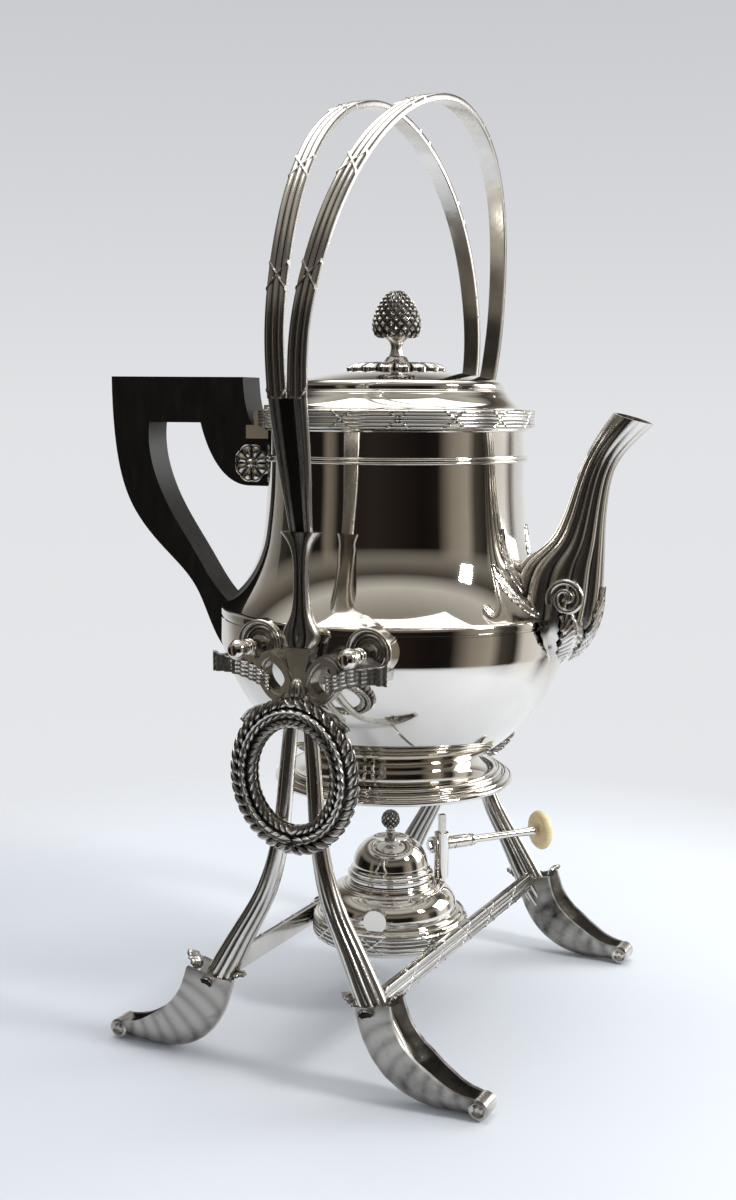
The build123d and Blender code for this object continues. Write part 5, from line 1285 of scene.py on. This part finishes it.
class KETTLE_OT_lamp(bpy.types.Operator):
    """Make the spirit lamp, its snuffer and the key that raises its wick"""

    bl_idname = "kettle.lamp"
    bl_label = "Spirit lamp"

    def execute(self, context):
        # Outside of the reservoir, then back along its inside
        outside = [(0, 30.5), (30.9, 30.5), (33.9, 33.5), (33.9, 42.1), (36.2, 42.1), (36.2, 43.1)]
        outside += [*arc((35.9, 43.5), (34.0, 43.2), (33.2, 44.4), 6), (31.9, 44.6)]
        outside += arc((31.8, 45.2), (30.6, 51.8), (23.9, 56.3), 24)
        outside += [*arc((23.6, 56.5), (22.6, 57.4), (21.6, 57.2), 6), (21.5, 58.0), (9.6, 58.0)]
        inside = [(9.6, 56.9), (21.4, 56.5), (29.0, 51.0), (30.4, 45.0), (32.5, 42.5), (32.5, 34.4),
            (30.4, 31.8), (0, 31.8)]
        piece("spun_reservoir", turned(outside + inside, 128), "lamp", finish("sheet"), ["lamp_reservoir"])

        collar = [(6.6, 55.2), (9.5, 55.2), (9.5, 58.0), *arc((20.1, 58.0), (20.5, 58.8), (19.9, 59.9), 7)]
        collar += [(19.3, 60.2), (19.3, 61.6), (6.6, 61.6)]
        piece("burner_top", turned(collar, 96, wrap=True), "lamp", finish("sheet"), ["burner_collar"])

        cap = [*arc((20.1, 61.6), (20.5, 62.5), (19.9, 63.5), 7), (19.2, 63.9)]
        cap += [*arc((19.2, 64.2), (19.0, 65.2), (18.3, 65.6), 5), (18.0, 66.2)]
        cap += arc((18.0, 67.0), (14.6, 75.2), (8.7, 79.4), 22)
        cap += [(8.6, 79.6), (8.2, 79.6), (7.6, 79.1), (6.0, 78.7), (0, 78.7)]
        inner = [(0, 77.7), (7.8, 78.5), (13.6, 74.7), (16.9, 67.0), (17.4, 65.0), (19.3, 63.2), (19.3, 61.6)]
        piece("snuffer_dome", turned(cap + inner, 96), "snuffer", finish("sheet"), ["snuffer_cap"])

        stem = [(0, 78.7), (3.0, 78.7), (2.9, 79.4), (1.8, 80.2), (1.6, 81.6), (2.2, 82.2), (2.2, 82.8),
            (1.7, 83.3)]
        ball = [(1.7, 84.0), (3.6, 85.9), (4.2, 88.2), (3.5, 90.6), (1.9, 92.2)]
        core = stem + [tuple(p) for p in fair(ball + [(0.3, 92.6)], 20)] + [(0, 92.7)]
        piece("net_ball", turned(core, 40), "snuffer", finish("worn"), ["snuffer_finial"])
        marks = cone_marks(ball + [(0.3, 92.7)], 9, 11, 0.0, 0.42)
        repeated("net_scales", cone_scale(), marks, "snuffer", finish("cast"))

        for name in ("filler_plug", "regulator_post"):
            softened(name, "lamp", finish("sheet"), bevel=0.15)
        softened("rack_rod", "wick_lift", finish("cast"))

        def key(profile):
            return set_on(turned(profile, 48), (0, 0, 72.6), RADIAL)

        rod = [(0, 20.6), (1.25, 20.6), (1.25, 38.3), (1.9, 38.3)]
        rod += [(1.9, 60.0), (1.75, 66.0), (1.9, 74.0), (2.3, 79.5), (2.9, 80.2), (2.9, 81.2), (2.2,
            81.8), (1.25, 82.4)]
        rod += [(1.25, 86.8), (0, 86.8)]
        piece("key_rod", key(rod), "regulator_key", finish("sheet"), ["regulator_spindle"])
        socket = [(1.26, 30.3), (2.2, 30.3), (3.2, 31.0), (3.2, 33.2), (2.7, 33.6), (2.7, 34.4), (3.2, 34.8)]
        socket += [(3.2, 41.6), (2.6, 42.2), (2.6, 43.2), (3.1, 43.7), (3.0, 45.2), (2.3, 46.3), (1.92,
            46.3), (1.92, 38.3), (1.26, 38.3)]
        piece("key_socket", set_on(turned(socket, 48, wrap=True), (0, 0, 72.6), RADIAL), "regulator_key",
              finish("cast"), ["spindle_socket"])
        disc = [(1.25, 82.6), (4.5, 82.4), *arc((7.6, 82.5), (9.8, 84.6), (7.6, 86.7), 14), (4.5, 86.4),
            (2.0, 86.8), (1.25, 86.8)]
        piece("turned_disc", set_on(turned(disc, 96, wrap=True), (0, 0, 72.6), RADIAL), "regulator_key",
              finish("bone"), ["bone_disc"])
        cap = [(0, 86.8), (2.6, 86.8), (2.6, 87.5), (2.1, 88.2), (1.2, 88.55), (0, 88.6)]
        piece("disc_rivet", key(cap), "regulator_key", finish("sheet"), ["disc_cap"])
        return {"FINISHED"}


class KETTLE_OT_finishes(bpy.types.Operator):
    """Give the solids that stay, inside the lamp, their finishes"""

    bl_idname = "kettle.finishes"
    bl_label = "Finishes of the inner solids"

    def execute(self, context):
        for name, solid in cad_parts.items():
            if solid.hide_render:
                continue
            solid.data.materials.clear()
            solid.data.materials.append(finish("cotton" if name == "wick" else "cast"))
        return {"FINISHED"}


# Stage

TABLE_RADIUS = 0.46
TABLE_FADE = 0.30


def room_light(tree, direction):
    """Colour of the room that the silver mirrors, by compass direction and height."""
    parts = node(tree, "ShaderNodeSeparateXYZ", Vector=direction)
    compass = node(tree, "ShaderNodeMath", {"operation": "ARCTAN2"}, _0=parts.outputs["Y"],
        _1=parts.outputs["X"])
    turn = node(
        tree, "ShaderNodeMapRange", Value=compass.outputs[0], From_Min=-math.pi, From_Max=math.pi
    )
    walls = [
        (-180, "3A3630"), (-158, "14110F"), (-132, "1A1614"), (-126, "7D7568"), (-121, "6E675B"), (-115,
            "1D1917"),
        (-84, "2A2522"), (-60, "211B18"), (-42, "151110"), (-28, "1B1715"), (-14, "8E867A"), (0, "A69E92"),
        (8, "4A443E"), (20, "2B2723"), (28, "D8D4CC"), (46, "EFEDEA"), (56, "6D6862"), (66, "E4E4E4"),
            (90, "F0F1F3"),
        (150, "DADBDD"), (166, "8E8B85"), (180, "6B675F"),
    ]
    wall = node(
        tree, "ShaderNodeValToRGB", Fac=turn.outputs[0],
        stops=[((a + 180) / 360, rgb(c)) for a, c in walls],
    ).outputs["Color"]
    rise = node(tree, "ShaderNodeMapRange", Value=parts.outputs["Z"], From_Min=-1.0, From_Max=1.0)
    ceiling = node(
        tree, "ShaderNodeValToRGB", Fac=rise.outputs[0],
        stops=[(0.0, (0, 0, 0, 1)), (0.62, (0, 0, 0, 1)), (0.72, (1, 1, 1, 1))],
    ).outputs["Color"]
    lofty = node(
        tree, "ShaderNodeValToRGB", Fac=rise.outputs[0],
        stops=[(0.6, rgb("A8A196")), (0.8, rgb("4A453F")), (0.88, rgb("C9C5BD")), (1.0, rgb("8C867C"))],
    ).outputs["Color"]
    mixed = node(tree, "ShaderNodeMix", {"data_type": "RGBA"})
    tree.links.new(ceiling, mixed.inputs[0])
    tree.links.new(wall, mixed.inputs[6])
    tree.links.new(lofty, mixed.inputs[7])
    return mixed.outputs[2]


class KETTLE_OT_stage(bpy.types.Operator):
    """Make the table, the backdrop, the lamps and the camera"""

    bl_idname = "kettle.stage"
    bl_label = "Stage"

    def execute(self, context):
        settings = context.scene.kettle_finish
        # Table top: a plain disc that fades out at its edge
        bm = bmesh.new()
        bmesh.ops.create_circle(bm, cap_ends=True, radius=TABLE_RADIUS, segments=96)
        mesh = bpy.data.meshes.new("table_top")
        bm.to_mesh(mesh)
        bm.free()
        table = bpy.data.objects.new("table_top", mesh)
        context.scene.collection.objects.link(table)
        made, tree, shader = new_finish("Painted table top")
        place = node(tree, "ShaderNodeTexCoord").outputs["Object"]
        soft = node(tree, "ShaderNodeTexNoise", Vector=place, Scale=3.0, Detail=2.0)
        colour = node(
            tree, "ShaderNodeValToRGB", Fac=soft.outputs["Fac"],
            stops=[(0.3, rgb("D3D8DE")), (0.7, rgb(settings.table))],
        ).outputs["Color"]
        tree.links.new(colour, shader.inputs["Base Color"])
        shader.inputs["Roughness"].default_value = 0.55
        shader.inputs["Specular IOR Level"].default_value = 0.3
        reach = node(tree, "ShaderNodeVectorMath", {"operation": "LENGTH"}, _0=place)
        edge = node(tree, "ShaderNodeMapRange", Value=reach.outputs["Value"], From_Min=TABLE_FADE,
            From_Max=TABLE_RADIUS)
        clear = node(tree, "ShaderNodeBsdfTransparent")
        faded = node(
            tree, "ShaderNodeMixShader", _0=edge.outputs[0], _1=shader.outputs[0], _2=clear.outputs[0]
        )
        tree.links.new(faded.outputs[0], tree.nodes["Material Output"].inputs["Surface"])
        mesh.materials.append(made)

        world = bpy.data.worlds.new("Studio")
        context.scene.world = world
        world.use_nodes = True
        tree = world.node_tree
        tree.nodes.clear()
        direction = node(tree, "ShaderNodeTexCoord").outputs["Generated"]
        parts = node(tree, "ShaderNodeSeparateXYZ", Vector=direction)
        # The wall seen behind is drawn paler below and darker towards the top: painted shade, where less
        # light reaches the wall
        rise = node(tree, "ShaderNodeMapRange", Value=parts.outputs["Z"], From_Min=-0.3, From_Max=0.4)
        wall = node(
            tree, "ShaderNodeValToRGB", Fac=rise.outputs[0],
            stops=[(0.0, rgb("E6E8EB")), (0.42, rgb("E2E3E6")), (0.6, rgb("D6D7DA")), (1.0, rgb("BCBDC1"))],
        ).outputs["Color"]
        path = node(tree, "ShaderNodeLightPath")
        seen = node(tree, "ShaderNodeBackground", Color=wall, Strength=1.0)
        mirrored = node(tree, "ShaderNodeBackground", Color=room_light(tree, direction), Strength=1.0)
        lit = node(tree, "ShaderNodeBackground", Color=rgb("DADCE0"), Strength=0.75)
        first = node(tree, "ShaderNodeMixShader", _0=path.outputs["Is Glossy Ray"], _1=lit.outputs[0],
            _2=mirrored.outputs[0])
        second = node(tree, "ShaderNodeMixShader", _0=path.outputs["Is Camera Ray"], _1=first.outputs[0],
            _2=seen.outputs[0])
        node(tree, "ShaderNodeOutputWorld", Surface=second.outputs[0])

        for name, place, aim, size, power in (
            ("Window light", (0.95, -0.03, 0.75), (0.03, 0, 0.17), (0.17, 0.24), 6.0),
            ("Top light", (-0.1, 0.25, 1.25), (0, 0, 0.1), (1.1, 1.1), 9.0),
            ("Rear light", (0.9, 0.9, 0.6), (0, 0, 0.2), (0.7, 0.7), 7.0),
        ):
            data = bpy.data.lights.new(name, "AREA")
            data.shape = "RECTANGLE"
            data.size, data.size_y = size
            data.energy = power
            lamp = bpy.data.objects.new(name, data)
            lamp.location = place
            lamp.rotation_euler = (Vector(place) - Vector(aim)).to_track_quat("Z", "Y").to_euler()
            context.scene.collection.objects.link(lamp)

        # Camera 0.7 m away, 26.5 degrees round towards the spout and 7.3 above
        data = bpy.data.cameras.new("Camera")
        data.sensor_width = 36.0
        data.lens = 1477.1 * 36.0 / 1200
        camera = bpy.data.objects.new("Camera", data)
        a, e, roll = math.radians(26.515), math.radians(7.322), math.radians(0.245)
        back = Vector((math.sin(a) * math.cos(e), -math.cos(a) * math.cos(e), math.sin(e)))
        target = Vector((-12.61 + STAND_X, 0, 193.17)) * MM
        camera.location = target + back * 0.69918
        turn = back.to_track_quat("Z", "Y").to_matrix() @ Matrix.Rotation(roll, 3, "Z")
        camera.rotation_euler = turn.to_euler()
        context.scene.collection.objects.link(camera)
        context.scene.camera = camera
        context.scene.view_settings.view_transform = "Standard"
        return {"FINISHED"}


GROUPS = (
    KETTLE_OT_shell,
    KETTLE_OT_lid,
    KETTLE_OT_spout,
    KETTLE_OT_handle,
    KETTLE_OT_trunnions,
    KETTLE_OT_frames,
    KETTLE_OT_wreaths,
    KETTLE_OT_feet,
    KETTLE_OT_tray,
    KETTLE_OT_arch,
    KETTLE_OT_lamp,
    KETTLE_OT_finishes,
    KETTLE_OT_stage,
)


class KETTLE_PT_panel(bpy.types.Panel):
    """Lists the operators and the sizes they read"""

    bl_label = "Tilting kettle"
    bl_idname = "KETTLE_PT_panel"
    bl_space_type = "VIEW_3D"
    bl_region_type = "UI"
    bl_category = "Kettle"

    def draw(self, context):
        for group in (context.scene.kettle_sizes, context.scene.kettle_finish):
            for key in group.__annotations__:
                self.layout.prop(group, key)
        for operator in GROUPS:
            self.layout.operator(operator.bl_idname)


CLASSES = (KettleSettings, FinishSettings, *GROUPS, KETTLE_PT_panel)


def register():
    for made in CLASSES:
        bpy.utils.register_class(made)
    bpy.types.Scene.kettle_sizes = bpy.props.PointerProperty(type=KettleSettings)
    bpy.types.Scene.kettle_finish = bpy.props.PointerProperty(type=FinishSettings)


def unregister():
    del bpy.types.Scene.kettle_finish
    del bpy.types.Scene.kettle_sizes
    for made in reversed(CLASSES):
        bpy.utils.unregister_class(made)


def main():
    register()
    for operator in GROUPS:
        getattr(bpy.ops.kettle, operator.bl_idname.split(".")[1])()


if __name__ == "__main__":
    main()
